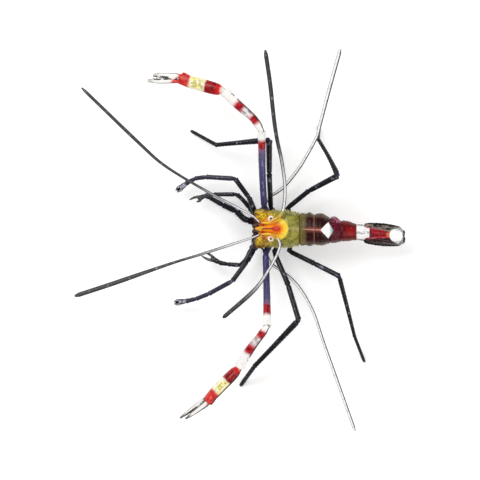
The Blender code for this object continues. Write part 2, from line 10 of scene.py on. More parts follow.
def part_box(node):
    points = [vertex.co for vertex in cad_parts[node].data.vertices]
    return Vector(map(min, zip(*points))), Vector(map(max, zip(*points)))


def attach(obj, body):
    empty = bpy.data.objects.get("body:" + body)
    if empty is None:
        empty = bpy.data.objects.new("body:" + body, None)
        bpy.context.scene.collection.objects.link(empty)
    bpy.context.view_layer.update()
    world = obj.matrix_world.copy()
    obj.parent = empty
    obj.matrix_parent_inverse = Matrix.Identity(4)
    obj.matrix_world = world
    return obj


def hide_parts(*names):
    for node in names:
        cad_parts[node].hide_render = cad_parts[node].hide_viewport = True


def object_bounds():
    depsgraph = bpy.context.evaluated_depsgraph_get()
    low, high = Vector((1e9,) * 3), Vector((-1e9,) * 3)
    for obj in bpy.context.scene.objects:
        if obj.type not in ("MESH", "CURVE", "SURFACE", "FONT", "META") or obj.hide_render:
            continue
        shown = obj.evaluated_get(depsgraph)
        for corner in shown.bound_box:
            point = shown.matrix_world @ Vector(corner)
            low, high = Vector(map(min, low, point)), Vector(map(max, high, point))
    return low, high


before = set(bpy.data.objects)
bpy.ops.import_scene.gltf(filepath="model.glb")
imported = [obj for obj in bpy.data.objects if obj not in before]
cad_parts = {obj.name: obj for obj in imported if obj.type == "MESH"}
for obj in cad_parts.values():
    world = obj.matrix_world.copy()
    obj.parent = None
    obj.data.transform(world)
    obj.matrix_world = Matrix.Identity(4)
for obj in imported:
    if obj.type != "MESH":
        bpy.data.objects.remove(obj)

cad_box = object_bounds()

# ---------------------------------------------------------------------------------------------
# Carapace: the one-piece shield over head and thorax, a thin springy shell with free lower edges.
# It is drawn round the trunk's solid, with the groove behind the head pressed in, a toothed beak
# grown out over the eyes, and short thorns all over that lean forward.

MM = 0.001
TRUNK = ["carapace", *(f"abdomen_{number}" for number in range(1, 7))]
CORE_HEIGHT = 8.5
BESIDE_BEAK = 0.85
FLANK_POWER = 0.9
HEM_POWER = 0.62
HEM_SHARE = 0.8
STATIONS = 12
SMOOTHED_OVER = 7
SHARP_FROM = 55


def solid(node):
    """A node's walls in millimetres, ready to be struck by rays."""
    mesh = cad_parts[node].data
    return BVHTree.FromPolygons([v.co / MM for v in mesh.vertices], [p.vertices for p in mesh.polygons])


def corners(node):
    """A node's box in millimetres."""
    low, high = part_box(node)
    return low / MM, high / MM


def ease(share):
    """A smooth step from 0 to 1."""
    share = np.clip(share, 0, 1)
    return share * share * (3 - 2 * share)


centres = [sum(corners(node), Vector()) / 2 for node in (*TRUNK, "telson")]
midline = np.poly1d(np.polyfit([c.x for c in centres], [c.y for c in centres], 2))
head_walls = solid("carapace")
beak_tip = corners("carapace")[0].x
before_head = Vector((beak_tip - 1, midline(beak_tip) + BESIDE_BEAK, CORE_HEIGHT))
head_front = head_walls.ray_cast(before_head, Vector((1, 0, 0)))[0].x

stations = []
for node in TRUNK:
    walls = solid(node)
    low, high = corners(node)
    front = head_front if node == "carapace" else low.x
    aside = BESIDE_BEAK if node == "carapace" else 0
    for x in np.linspace(front + 0.1, high.x - 0.1, STATIONS):
        core = Vector((x, midline(x), CORE_HEIGHT))
        out = walls.ray_cast(core, Vector((0, 1, 0)))[3]
        up = walls.ray_cast(core + Vector((0, aside, 0)), Vector((0, 0, 1)))[3]
        down = walls.ray_cast(core, Vector((0, 0, -1)))[3]
        if out and up and down:
            stations.append((x, out, CORE_HEIGHT + up, CORE_HEIGHT - down))
trunk = np.array(stations).T
average = np.ones(SMOOTHED_OVER) / SMOOTHED_OVER
for row in trunk[1:]:
    row[:] = np.convolve(np.pad(row, SMOOTHED_OVER // 2, "edge"), average, "valid")


def trunk_surface(x, angle, grown=1.0, hollow=1.4):
    """Points round the trunk: angle is 0 at the right flank and a quarter turn at the back.

    The underside is pushed up between the two hems, so that the shell hangs down at its sides.
    """
    x, angle = np.broadcast_arrays(x, angle)
    half_width, back, belly = (np.interp(x, trunk[0], row) for row in trunk[1:])
    c, s = np.cos(angle), np.sin(angle)
    power = np.where(s > 0, FLANK_POWER, HEM_POWER)
    across = np.sign(c) * np.abs(c) ** power
    up = np.sign(s) * np.abs(s) ** power
    pushed = np.where(s < 0, hollow * ease(1 - np.abs(across) / HEM_SHARE), 0)
    y = midline(x) + across * half_width * grown
    z = (back + belly) / 2 + up * (back - belly) / 2 * grown + pushed
    return np.stack([x, y, z], -1)


def circle(sides, square=1.0):
    """Cosines and sines round a circle, or round a squarer shape for a power below 1."""
    turn = np.linspace(0, 2 * math.pi, sides, endpoint=False)
    return [np.sign(way) * np.abs(way) ** square for way in (np.cos(turn), np.sin(turn))]


def keep(mesh, name, values):
    """Stores a number or a vector at each vertex of a mesh."""
    values = np.array(values, np.float32)
    kind, field = ("FLOAT", "value") if values.ndim == 1 else ("FLOAT_VECTOR", "vector")
    mesh.attributes.new(name, kind, "POINT").data.foreach_set(field, values.reshape(-1))


def linked(name, data):
    """A new object in the scene, at the origin."""
    thing = bpy.data.objects.new(name, data)
    bpy.context.scene.collection.objects.link(thing)
    return thing


class Body:
    """The vertices and faces of one piece as it is put together, in millimetres.

    Each vertex also keeps how far along the piece and how far from a ball's or length's nearest
    end it is, how thickly thorns grow there, on a finger how far it faces the other finger, which
    way the shell runs, and its place on the unwrapped shell.
    """

    def __init__(self):
        self.points, self.faces = [], []
        self.kept = {"along": [], "end": [], "thorns": [], "inner": [], "lie": [], "unwrap": []}

    def loft(self, rings, start=0.0, thorns=0.0, inner=0.0):
        """Adds a closed body through rings of equally many points, with a pole in each end."""
        rings = np.asarray(rings, float)
        count, sides = rings.shape[:2]
        middles = rings.mean(axis=1)
        run = np.gradient(middles, axis=0)
        run /= np.maximum(np.linalg.norm(run, axis=1, keepdims=True), 1e-9)
        gone = start + np.concatenate([[0], np.cumsum(np.linalg.norm(np.diff(middles, axis=0), axis=1))])
        nearest_end = np.minimum(gone - gone[0], gone[-1] - gone)
        round_it = np.minimum(np.arange(sides), sides - np.arange(sides)) / sides
        on_rings = {
            "along": gone[:, None], "end": nearest_end[:, None], "thorns": thorns, "inner": inner,
            "lie": run[:, None], "unwrap": np.stack(np.broadcast_arrays(round_it, gone[:, None], 0.0), -1),
        }
        ends = [0, -1]
        on_poles = {
            "along": gone[ends], "lie": run[ends], "unwrap": np.array([(0.25, gone[end], 0) for end in ends]),
        }
        for name, values in on_rings.items():
            poles = on_poles.get(name, np.zeros(2))
            width = poles.shape[1:]
            self.kept[name] += [np.broadcast_to(values, (count, sides, *width)).reshape(-1, *width), poles]

        first = len(self.points)
        self.points += [*rings.reshape(-1, 3), *middles[ends]]
        for row in range(count - 1):
            for side in range(sides):
                one, two = first + row * sides + side, first + row * sides + (side + 1) % sides
                self.faces.append((one, two, two + sides, one + sides))
        for index, row in enumerate((0, count - 1)):
            ring, pole = first + row * sides, first + count * sides + index
            self.faces += [(ring + side, ring + (side + 1) % sides, pole) for side in range(sides)]
        return gone[-1]

    def made(self, name, finish):
        """The finished piece as a smooth mesh object with its attributes and its material."""
        mesh = bpy.data.meshes.new(name)
        mesh.from_pydata([Vector(point) * MM for point in self.points], [], self.faces)
        bm = bmesh.new()
        bm.from_mesh(mesh)
        bmesh.ops.recalc_face_normals(bm, faces=bm.faces)
        bm.to_mesh(mesh)
        bm.free()
        kept = {title: np.concatenate(values) for title, values in self.kept.items()}
        longest = kept["along"].max()
        kept["left"] = longest - kept["along"]
        kept["unwrap"] = kept["unwrap"] * (1, 1 / longest, 1)
        for title, values in kept.items():
            keep(mesh, title, values)
        mesh.shade_smooth()
        mesh.set_sharp_from_angle(angle=math.radians(SHARP_FROM))
        mesh.materials.append(finish)
        return linked(name, mesh)


def shown(piece, node=None):
    """Fixes a piece to the one body, and hides the solid that it stands for, if one is given."""
    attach(piece, "root")
    if node:
        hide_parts(node)
    return piece


class Value:
    """One socket of a node tree. Arithmetic on it adds Math nodes."""

    def __init__(self, graph, socket):
        self.graph, self.socket = graph, socket

    def also(self, name):
        """Another result of the same node."""
        return Value(self.graph, self.socket.node.outputs[name])

    def math(self, operation, *values):
        return self.graph.node("ShaderNodeMath", {"operation": operation}, dict(enumerate(values)))

    def __abs__(self):
        return self.math("ABSOLUTE", self)

    def step(self, low, high):
        """0 below low and 1 above high, or the other way round if low is above high."""
        ends = {"Value": self, "From Min": low, "From Max": high}
        return self.graph.node("ShaderNodeMapRange", {"interpolation_type": "SMOOTHSTEP"}, ends)

    def band(self, low, high, soft):
        return self.step(low - soft, low + soft) * self.step(high + soft, high - soft)


OPERATORS = {"add": "ADD", "sub": "SUBTRACT", "mul": "MULTIPLY", "truediv": "DIVIDE", "pow": "POWER"}
for name, operation in OPERATORS.items():
    setattr(Value, f"__{name}__", lambda self, other, does=operation: self.math(does, self, other))
    setattr(Value, f"__r{name}__", lambda self, other, does=operation: self.math(does, other, self))


class Graph:
    """A node tree whose nodes are all added by one method."""

    def __init__(self, tree):
        self.tree = tree

    def node(self, kind, settings=None, sockets=None, out=0):
        """Adds a node: its type, then its settings, then the values or links of its sockets.

        A colour is given as a screen shows it, 0 to 255.
        """
        made = self.tree.nodes.new(kind)
        for name, value in (settings or {}).items():
            setattr(made, name, value)
        for key, value in (sockets or {}).items():
            live = [socket for socket in made.inputs if socket.enabled]
            socket = live[key] if isinstance(key, int) else next(s for s in live if s.name == key)
            if isinstance(value, Value):
                self.tree.links.new(value.socket, socket)
            elif socket.type == "RGBA":
                socket.default_value = (*((part / 255) ** 2.2 for part in value), 1)
            else:
                socket.default_value = value
        results = [socket for socket in made.outputs if socket.enabled]
        return Value(self, results[out]) if results else None

    def vector(self, operation, *values, **more):
        sockets = {**dict(enumerate(values)), **more}
        return self.node("ShaderNodeVectorMath", {"operation": operation}, sockets)


class Finish(Graph):
    """A shell or skin material, painted by where a point is on the animal, in millimetres."""

    def __init__(self, name):
        self.material = bpy.data.materials.new(name)
        self.material.use_nodes = True
        super().__init__(self.material.node_tree)
        self.shader = self.tree.nodes["Principled BSDF"]
        coordinates = self.node("ShaderNodeTexCoord")
        self.normal = coordinates.also("Normal")
        self.place = self.vector("SCALE", coordinates.also("Object"), Scale=1 / MM)
        self.x = self.node("ShaderNodeSeparateXYZ", None, {0: self.place})
        self.y, self.z = self.x.also("Y"), self.x.also("Z")

    def aside(self):
        """How far to the right of the trunk's midline, in plan."""
        bend, slope, offset = midline.coefficients
        return self.y - (self.x * self.x * bend + self.x * slope + offset)

    def across(self):
        """How far out from the trunk's midline, on either side."""
        return abs(self.aside())

    def facing(self, axis=2):
        """How far the surface faces along X, Y or Z, by its number."""
        return self.node("ShaderNodeSeparateXYZ", None, {0: self.normal}, out=axis)

    def kept(self, name):
        """What the mesh keeps at its vertices under a name."""
        return self.node("ShaderNodeAttribute", {"attribute_name": name}).also("Fac")

    def noise(self, scale, detail=2.0):
        return self.node("ShaderNodeTexNoise", None, {"Vector": self.place, "Scale": scale, "Detail": detail})

    def cells(self, scale):
        return self.node("ShaderNodeTexVoronoi", None, {"Vector": self.place, "Scale": scale})

    def spot(self, x, out, long, wide, soft, ripple=0.0):
        """An oval mark at a place along X and out from the midline, with an uneven edge."""
        away = ((self.x - x) / long) ** 2 + ((self.across() - out) / wide) ** 2
        if ripple:
            away = away + (self.noise(1.6) - 0.5) * ripple
        return away.step(1 + soft, 1 - soft)

    def mix(self, mask, one, two):
        return self.node("ShaderNodeMix", {"data_type": "RGBA"}, {0: mask, "A": one, "B": two})

    def lay(self, mask, colour):
        """Lays a colour over what is painted so far, as thickly as the mask says."""
        self.colour = self.mix(mask, self.colour, colour)

    def done(self, rough=0.3, height=None, relief=0.02, coat=0.5, flesh=0.12):
        """Sets the shader: wet gloss over a shell that lets a little light in."""
        unevenness = self.noise(2.5) * 0.2 + (rough - 0.1)
        varied = {"Base Color": self.colour, "Roughness": unevenness}
        if height is not None:
            sockets = {"Height": height, "Distance": relief * MM, "Strength": 1.0}
            varied["Normal"] = self.node("ShaderNodeBump", None, sockets)
        for name, value in varied.items():
            self.tree.links.new(value.socket, self.shader.inputs[name])
        constants = {
            "Specular IOR Level": 0.25, "Coat Weight": coat, "Coat Roughness": 0.12,
            "Subsurface Weight": flesh, "Subsurface Radius": (1.0, 0.5, 0.3), "Subsurface Scale": 0.5 * MM,
        }
        for name, value in constants.items():
            self.shader.inputs[name].default_value = value
        return self.material


def carapace_finish():
    paint = Finish("olive_carapace")
    behind, out = paint.x - head_front, paint.across()
    paint.colour = paint.mix(paint.noise(1.1, 4.0).step(0.3, 0.7), (96, 96, 22), (162, 154, 66))
    paint.lay(paint.cells(2.6).step(0.28, 0.12) * 0.2, (206, 200, 130))
    cheek = paint.mix(paint.noise(1.8, 3.0).step(0.35, 0.65), (118, 80, 2), (236, 196, 34))
    cheek = paint.mix(out.step(3.3, 4.3) * 0.6, cheek, (104, 92, 24))
    paint.lay((behind + paint.noise(1.4) * 1.2).step(3.4, 1.2), cheek)
    rim = paint.spot(head_front + 2.6, 0.0, 2.35, 2.6, soft=0.16, ripple=0.5)
    heart = paint.spot(head_front + 1.7, 0.0, 2.3, 1.75, soft=0.5, ripple=0.5)
    ember = paint.spot(head_front + 2.2, 0.1, 1.0, 0.62, soft=0.75, ripple=0.6)
    seam = out.step(0.2, 0.08) * behind.band(-1.0, 1.75, 0.3)
    stripe = (out + paint.noise(1.5) * 0.4).step(0.9, 0.3) * behind.step(4.6, 6.0)
    beak = behind.band(-3.0, -0.3, 0.4) * out.step(0.25, 0.6)
    paint.lay(rim, (255, 222, 62))
    paint.lay(heart, (252, 146, 18))
    paint.lay(ember, (214, 62, 38))
    paint.lay(seam, (110, 22, 10))
    paint.lay(stripe * 0.4, (206, 188, 140))
    paint.lay(beak, (236, 96, 12))
    paint.lay(behind.step(-0.9, -1.6), (246, 168, 44))
    grain = paint.cells(5.5) * -0.6 + paint.noise(6.0, 3.0)
    return paint.done(rough=0.34, height=grain, relief=0.06, coat=0.3)


GROOVE_BEHIND = 4.75
GROOVE_SWEEP = 0.16
GROOVE_DEPTH = 0.05
GROOVE_WIDTH = 0.32
ORBIT_ANGLE = 0.95
ORBIT_SPREAD = 0.2
ORBIT_DEPTH = 1.5
HEM_WIDTH = 0.03
FRONT_HEM = 0.015
REAR_HEM = 0.02
FOLDED_IN = ((0.95, 0.02), (0.9, 0.3), (0.84, 0.9))
SHIELD_ROWS = 72
SHIELD_SIDES = 112
CHEEK_THORNS = 1.0
BACK_THORNS = 0.45

shield = Body()
angles = np.linspace(0, 2 * math.pi, SHIELD_SIDES, endpoint=False)
shield_rear = corners("carapace")[1].x
eyes_at = np.exp(-(((np.abs(angles - math.pi / 2) - (math.pi / 2 - ORBIT_ANGLE)) / ORBIT_SPREAD) ** 2))
front_edge = head_front - 0.1 + ORBIT_DEPTH * eyes_at
growth = CHEEK_THORNS - (CHEEK_THORNS - BACK_THORNS) * ease(np.sin(angles))
growth = [np.where(np.sin(angles) > -0.5, growth, 0)] * SHIELD_ROWS
rings = []
for share in np.linspace(1, 0, SHIELD_ROWS):
    x = front_edge + (shield_rear - front_edge) * share
    out = np.abs(trunk_surface(x, angles)[:, 1] - midline(x))
    groove_at = head_front + GROOVE_BEHIND - GROOVE_SWEEP * out**1.6
    pressed = GROOVE_DEPTH * np.exp(-(((x - groove_at) / GROOVE_WIDTH) ** 2)) * ease(np.sin(angles) + 0.6)
    hem = REAR_HEM * np.exp(-((share - 1) / HEM_WIDTH) ** 2) + FRONT_HEM * np.exp(-(share / HEM_WIDTH) ** 2)
    rings.append(trunk_surface(x, angles, grown=1 - pressed + hem))
for inward, back in FOLDED_IN:
    front = trunk_surface(front_edge + back, angles, grown=inward)
    rings = [trunk_surface(shield_rear - back, angles, grown=inward), *rings, front]
    growth = [0 * angles, *growth, 0 * angles]
shield.loft(rings, thorns=growth)

BEAK_LENGTH = 2.9
BEAK_HALF_WIDTH = 1.05
BEAK_HALF_HEIGHT = 0.5
BEAK_ROWS = 26
BEAK_SIDES = 20
BEAK_TEETH = 7
TOOTH_SIDES = 10
beak_root = head_front + BEAK_LENGTH
ridge = []
for x in np.linspace(beak_root, beak_tip + 0.02, BEAK_ROWS):
    top = head_walls.ray_cast(Vector((x, midline(x), 30)), Vector((0, 0, -1)))[0].z
    share = (beak_root - x) / (beak_root - beak_tip)
    half_width = BEAK_HALF_WIDTH * (1 - share) ** 0.52 + 0.03
    half_height = BEAK_HALF_HEIGHT * (1 - share) ** 0.8 + 0.04
    crest = top - half_height * 0.75 + 0.1 * share
    c, s = circle(BEAK_SIDES)
    lean = 1 + 0.75 * np.clip(s, 0, 1) ** 6
    ridge.append(np.stack([0 * c + x, midline(x) + half_width * c, crest + half_height * s * lean], -1))
shield.loft(ridge)
for share in np.linspace(0.12, 0.88, BEAK_TEETH):
    foot = ridge[round(share * (BEAK_ROWS - 1))]
    top = foot[foot[:, 2].argmax()]
    size = 0.52 - 0.3 * share
    cone = []
    for rise in np.linspace(-0.15, 1, 8):
        wide = 0.17 * size / 0.5 * (1 - max(rise, 0)) + 0.012
        c, s = circle(TOOTH_SIDES)
        middle = top + np.array([-size * 0.95 * rise, 0, size * 0.75 * rise - 0.25 * size * rise**2])
        cone.append(middle + wide * np.stack([1.5 * c, 0.55 * s, 0 * c], -1))
    shield.loft(cone)
carapace_shield = shown(shield.made("carapace_shield", carapace_finish()), "carapace")


class Growth(Graph):
    """A tree that grows something on a mesh. Its sizes are named inputs."""

    KINDS = {"Geometry": "NodeSocketGeometry", "Seed": "NodeSocketInt", "Finish": "NodeSocketMaterial"}

    def __init__(self, name, *asked):
        super().__init__(bpy.data.node_groups.new(name, "GeometryNodeTree"))
        sockets = self.tree.interface
        for title in ("Geometry", *asked, "Finish"):
            kind = self.KINDS.get(title, "NodeSocketFloat")
            sockets.new_socket(name=title, in_out="INPUT", socket_type=kind)
        sockets.new_socket(name="Geometry", in_out="OUTPUT", socket_type="NodeSocketGeometry")
        self.given = self.node("NodeGroupInput")

    def kept(self, name, kind="FLOAT"):
        """What the mesh keeps at its vertices under a name."""
        return self.node("GeometryNodeInputNamedAttribute", {"data_type": kind}, {"Name": name})

    def chance(self, kind, low, high):
        """A random number or vector for each point, from the tree's seed."""
        sockets = {"Min": low, "Max": high, "Seed": self.given.also("Seed")}
        return self.node("FunctionNodeRandomValue", {"data_type": kind}, sockets)

    def cones(self, points, heading, sides, smallest, largest):
        """Slim cones on points, each turned along its heading and of a size of its own."""
        turned = self.node("FunctionNodeAlignRotationToVector", {"axis": "Z"}, {"Vector": heading})
        cone = self.node("GeometryNodeMeshCone", None, {
            "Vertices": sides, "Side Segments": 1, "Radius Top": 0.0,
            "Radius Bottom": self.given.also("Radius"), "Depth": self.given.also("Length"),
        })
        size = self.chance("FLOAT", smallest, largest)
        return self.node("GeometryNodeInstanceOnPoints", None, {
            "Points": points, "Instance": cone, "Rotation": turned, "Scale": size,
        })

    def end(self, geometry):
        """Makes the instances real and paints them, which finishes the tree."""
        real = self.node("GeometryNodeRealizeInstances", None, {"Geometry": geometry})
        sockets = {"Geometry": real, "Material": self.given.also("Finish")}
        self.node("NodeGroupOutput", None, {"Geometry": self.node("GeometryNodeSetMaterial", None, sockets)})
        return self.tree


CLOSEST_THORNS = 0.25


def scatter_tree():
    """Thorns over a shell: each stands off the surface and leans the way that the shell runs."""
    grow = Growth("scattered_thorns", "Spacing", "Length", "Radius", "Lean", "Seed")
    points = grow.node("GeometryNodeDistributePointsOnFaces", {"distribute_method": "POISSON"}, {
        "Mesh": grow.given, "Distance Min": grow.given.also("Spacing"), "Seed": grow.given.also("Seed"),
        "Density Max": 1 / (CLOSEST_THORNS * MM) ** 2, "Density Factor": grow.kept("thorns"),
    })
    leaning = grow.vector("SCALE", grow.kept("lie", "FLOAT_VECTOR"), Scale=grow.given.also("Lean"))
    upward = grow.vector("ADD", leaning, points.also("Normal"))
    return grow.end(grow.cones(points, upward, 6, 0.55, 1.25))


TUFT_PATCH = 0.003


def patch_tufts(mesh):
    """Gives each thorn or hair a small patch at its root's place on the unwrapped shell."""
    roots = np.zeros(len(mesh.vertices) * 3)
    mesh.attributes["unwrap"].data.foreach_get("vector", roots)
    turn = np.arange(len(mesh.vertices)) * math.pi * 0.4
    spread = TUFT_PATCH / 2 * (1 + np.stack([np.cos(turn), np.sin(turn)], -1))
    places = roots.reshape(-1, 3)[:, :2] * (1 - TUFT_PATCH) + spread
    corner = np.zeros(len(mesh.loops), int)
    mesh.loops.foreach_get("vertex_index", corner)
    mesh.uv_layers.new(name="OFBake").uv.foreach_set("vector", places[corner].reshape(-1))


IN_MILLIMETRES = ("Spacing", "Length", "Radius", "Step", "Ring")


def grown_from(tree, source, name, **inputs):
    """What a tree makes of a piece, as a plain mesh object of its own."""
    modifier = source.modifiers.new("growth", "NODES")
    modifier.node_group = tree
    for socket in tree.interface.items_tree:
        if socket.in_out == "INPUT" and socket.name in inputs:
            value = inputs[socket.name]
            modifier[socket.identifier] = value * MM if socket.name in IN_MILLIMETRES else value
    view = bpy.context.evaluated_depsgraph_get()
    mesh = bpy.data.meshes.new_from_object(source.evaluated_get(view))
    source.modifiers.remove(modifier)
    mesh.name = name
    if "unwrap" in mesh.attributes:
        patch_tufts(mesh)
    return linked(name, mesh)


def thorn_finish(name, root, tip):
    """Thorns shade from the shell's own colour to a pale, horny tip."""
    paint = Finish(name)
    paint.colour = paint.mix(paint.noise(3.0), root, tip)
    return paint.done(rough=0.35, coat=0.3)


def thorned(piece, name, finish, seed, spacing, length, radius, lean):
    """Grows thorns on a shell where its vertices ask for them."""
    sizes = {"Spacing": spacing, "Length": length, "Radius": radius, "Lean": lean}
    shown(grown_from(thorns, piece, name, Seed=seed, Finish=finish, **sizes))


thorns = scatter_tree()
olive_thorns = thorn_finish("pale_olive_thorns", (170, 170, 80), (226, 222, 150))
thorned(carapace_shield, "carapace_thorns", olive_thorns, 3, 0.5, 0.5, 0.08, 1.0)

# ---------------------------------------------------------------------------------------------
# Head under the beak: the soft front of the body, which closes the shield's opening, with the
# bridge between the eyes on top and the lips and jaws below. One russet skin inside the shell.


class Run:
    """A smooth line through joints, given as rows of x, y, z and radius."""

    def __init__(self, joints):
        self.rows = np.asarray(joints, float)
        steps = np.linalg.norm(np.diff(self.rows[:, :3], axis=0), axis=1)
        self.reach = np.concatenate([[0], np.cumsum(steps)])
        self.length = self.reach[-1]
        self.slopes = np.gradient(self.rows, self.reach, axis=0)

    def at(self, distance):
        """Points with radii at distances along the line, which goes straight on past its ends."""
        inside = np.clip(distance, 0, self.length)
        index = np.clip(np.searchsorted(self.reach, inside) - 1, 0, len(self.reach) - 2)
        span = (self.reach[index + 1] - self.reach[index])[:, None]
        t = (inside - self.reach[index])[:, None] / span
        one, two = self.rows[index], self.rows[index + 1]
        rise, fall = self.slopes[index] * span, self.slopes[index + 1] * span
        found = one + t * t * (3 - 2 * t) * (two - one) + t * (1 - t) * ((1 - t) * rise - t * fall)
        beyond = (distance - inside)[:, None]
        found[:, :3] += np.where(beyond < 0, self.slopes[0, :3], self.slopes[-1, :3]) * beyond
        return found

    def heading(self, distance):
        ahead = self.at(distance + 0.05)[:, :3] - self.at(distance - 0.05)[:, :3]
        return ahead / np.linalg.norm(ahead, axis=1, keepdims=True)

    def even(self, step):
        """Evenly spaced distances, and the points and headings there."""
        distance = np.linspace(0, self.length, max(6, round(self.length / step)))
        return distance, self.at(distance), self.heading(distance)


def hoops(middles, heading, half_widths, half_heights, sides=20, square=1.0):
    """Rings square to a heading: their width is level and their height is what is left."""
    level = np.cross(heading, (0, 0, 1))
    level /= np.linalg.norm(level, axis=1, keepdims=True)
    upright = np.cross(level, heading)
    c, s = circle(sides, square)
    wide = level[:, None] * (c * np.asarray(half_widths)[:, None])[..., None]
    high = upright[:, None] * (s * np.asarray(half_heights)[:, None])[..., None]
    return middles[:, None] + wide + high


# The ends of a length: how far past its joint, and how wide, both as shares of the radius there.
NECK = ([-0.62, -0.52, -0.3], [0.27, 0.68, 0.92])
CUP = ([0.12, 0.16, 0.05, -0.25, -0.4], [0.98, 0.88, 0.8, 0.7, 0.3])
TIP = ([0.3, 0.55, 0.75], [0.9, 0.68, 0.36])
NECK_REACH = 1.5
RIM_REACH = 1.1
ROUND_STEP = 0.16
GROOVE_STEP = 0.85


def article(body, joints, near=0.74, far=1.12, start=0.0, sides=20, flat=1.0, ringed=0.0, thorns=0.0,
            end=CUP):
    """One hard length of a limb: a neck held by the length before, and a rim that takes the next.

    The rim is a cup with its floor inside it, unless the length ends in a rounded tip. Ringed is
    how deep the grooves round it are.
    """
    run = Run(joints)
    first, last = run.rows[0, 3], run.rows[-1, 3]
    inner = run.even(ROUND_STEP)[0]
    factor = near + (1 - near) * ease(inner / (NECK_REACH * first))
    factor *= 1 + (far - 1) * ease(1 - (run.length - inner) / (RIM_REACH * last))
    factor *= 1 - ringed * (0.5 - 0.5 * np.cos(2 * math.pi * inner / GROOVE_STEP)) ** 3
    distance = np.concatenate([np.array(NECK[0]) * first, inner, run.length + np.array(end[0]) * last])
    factor = np.concatenate([np.array(NECK[1]) * near, factor, np.array(end[1]) * far])
    found = run.at(distance)
    radius = found[:, 3] * factor
    growth = np.where((distance > 0.2) & (distance < run.length - 0.1), thorns, 0)[:, None]
    body.loft(hoops(found[:, :3], run.heading(distance), radius, radius * flat, sides), start, growth)
    return start + run.length


POLE_GAP = 0.1


def ball(body, centre, half_sizes, rings=14, sides=24):
    """A closed egg, level, round a centre."""
    tilt = np.linspace(POLE_GAP, math.pi - POLE_GAP, rings)
    c, s = circle(sides)
    x = np.sin(tilt)[:, None] * c * half_sizes[0]
    y = np.sin(tilt)[:, None] * s * half_sizes[1]
    z = np.repeat(-np.cos(tilt)[:, None], sides, axis=1) * half_sizes[2]
    body.loft(np.stack([x, y, z], -1) + np.asarray(centre, float))


def beside(x, out, z, side, *more):
    """A place out from the trunk's midline, on the right for side 1 and on the left for side -1."""
    return (x, midline(x) + side * out, z, *more)


def route(x, out, z, side, *joints):
    """Joints from a place beside the trunk: how much further back, out and up, and the radius."""
    return [beside(x + back, out + more, z + up, side, radius) for back, more, up, radius in joints]


def flesh_finish(name, dark, light, speck, crown=None, crown_height=0.0):
    """Mottled, specked skin, with another colour above a height if asked."""
    paint = Finish(name)
    mottle = paint.noise(1.5, 3.0).step(0.3, 0.7)
    paint.colour = paint.mix(mottle, dark, light)
    paint.lay(paint.cells(3.0).step(0.2, 0.05), speck)
    if crown:
        above = paint.z.step(crown_height - 0.5, crown_height + 0.5)
        paint.lay(above, paint.mix(mottle, light, crown))
    return paint.done(rough=0.35, height=paint.noise(5.0, 3.0), relief=0.05, coat=0.3)


FACE_SIDES = 32
SQUARISH = 0.85
FACE = [(2.0, 9.0, 3.1, 2.6), (1.0, 9.0, 3.1, 2.6), (0.3, 9.0, 2.9, 2.4), (-0.2, 8.9, 2.5, 2.0),
        (-0.6, 8.8, 1.8, 1.5), (-0.85, 8.7, 0.8, 0.7)]
face = Body()
behind, height, half_widths, half_heights = np.array(FACE).T
depth = head_front + behind
forward = np.tile((-1.0, 0.0, 0.0), (len(depth), 1))
middles = np.stack([depth, midline(depth), height], -1)
face.loft(hoops(middles, forward, half_widths, half_heights, FACE_SIDES, SQUARISH))
for side in (1, -1):
    bridge = (0.5, 0, 10.9, 0.55), (0.1, 0.9, 10.9, 0.5), (-0.1, 1.5, 11.0, 0.46)
    palp = (0.5, 1.9, 6.0, 0.3), (-0.8, 1.5, 5.6, 0.34), (-1.6, 0.9, 5.6, 0.24)
    article(face, route(head_front, 0, 0, side, *bridge))
    ball(face, beside(head_front - 0.4, 0.75, 6.9, side), (0.75, 0.62, 0.8))
    ball(face, beside(head_front - 0.1, 1.5, 6.2, side), (0.9, 0.55, 0.6))
    article(face, route(head_front, 0, 0, side, *palp))
ball(face, beside(head_front - 0.75, 0.0, 7.4, 1), (0.6, 0.55, 0.7))
russet = flesh_finish("russet_head", (84, 32, 16), (206, 112, 22), (226, 140, 50), (244, 176, 36), 8.6)
shown(face.made("head_skin", russet))

# ---------------------------------------------------------------------------------------------
# Eyes: a short stalk that widens into a ball. The ball is porcelain white with a dark pupil, and
# very finely faceted. The two are mirror images about the midline.

SIDES = (("right", 1), ("left", -1))
EYE_RADIUS = 0.72
PUPIL = 0.24


def eye_finish():
    paint = Finish("cream_eye")
    high = corners("eye_right")[1]
    eye_x = high.x - EYE_RADIUS
    eye_out = high.y - EYE_RADIUS - midline(eye_x)
    up = paint.z - (high.z - EYE_RADIUS)
    away = ((paint.x - eye_x) ** 2 + (paint.across() - eye_out) ** 2) ** 0.5
    beyond = (away ** 2 + up ** 2) ** 0.5
    paint.colour = paint.mix(paint.noise(2.5), (220, 120, 30), (248, 180, 50))
    paint.lay(beyond.step(EYE_RADIUS + 0.1, EYE_RADIUS + 0.02), (250, 240, 220))
    paint.lay(paint.cells(4.0).step(0.22, 0.1) * away.step(0.5, 0.62) * 0.6, (170, 110, 60))
    paint.lay(away.band(0.28, 0.4, 0.05) * 0.55, (232, 190, 140))
    paint.lay(away.step(PUPIL + 0.05, PUPIL - 0.03), (52, 12, 14))
    return paint.done(rough=0.2, height=paint.cells(16.0), relief=0.012, coat=0.9, flesh=0.1)


def tube(body, joints, step, sides=20, flat=1.0, start=0.0, inner=0.0):
    """A plain limb along a smooth line. It gives back its points, for what grows on them."""
    found, heading = Run(joints).even(step)[1:]
    body.loft(hoops(found[:, :3], heading, found[:, 3], found[:, 3] * flat, sides), start, inner=inner)
    return found


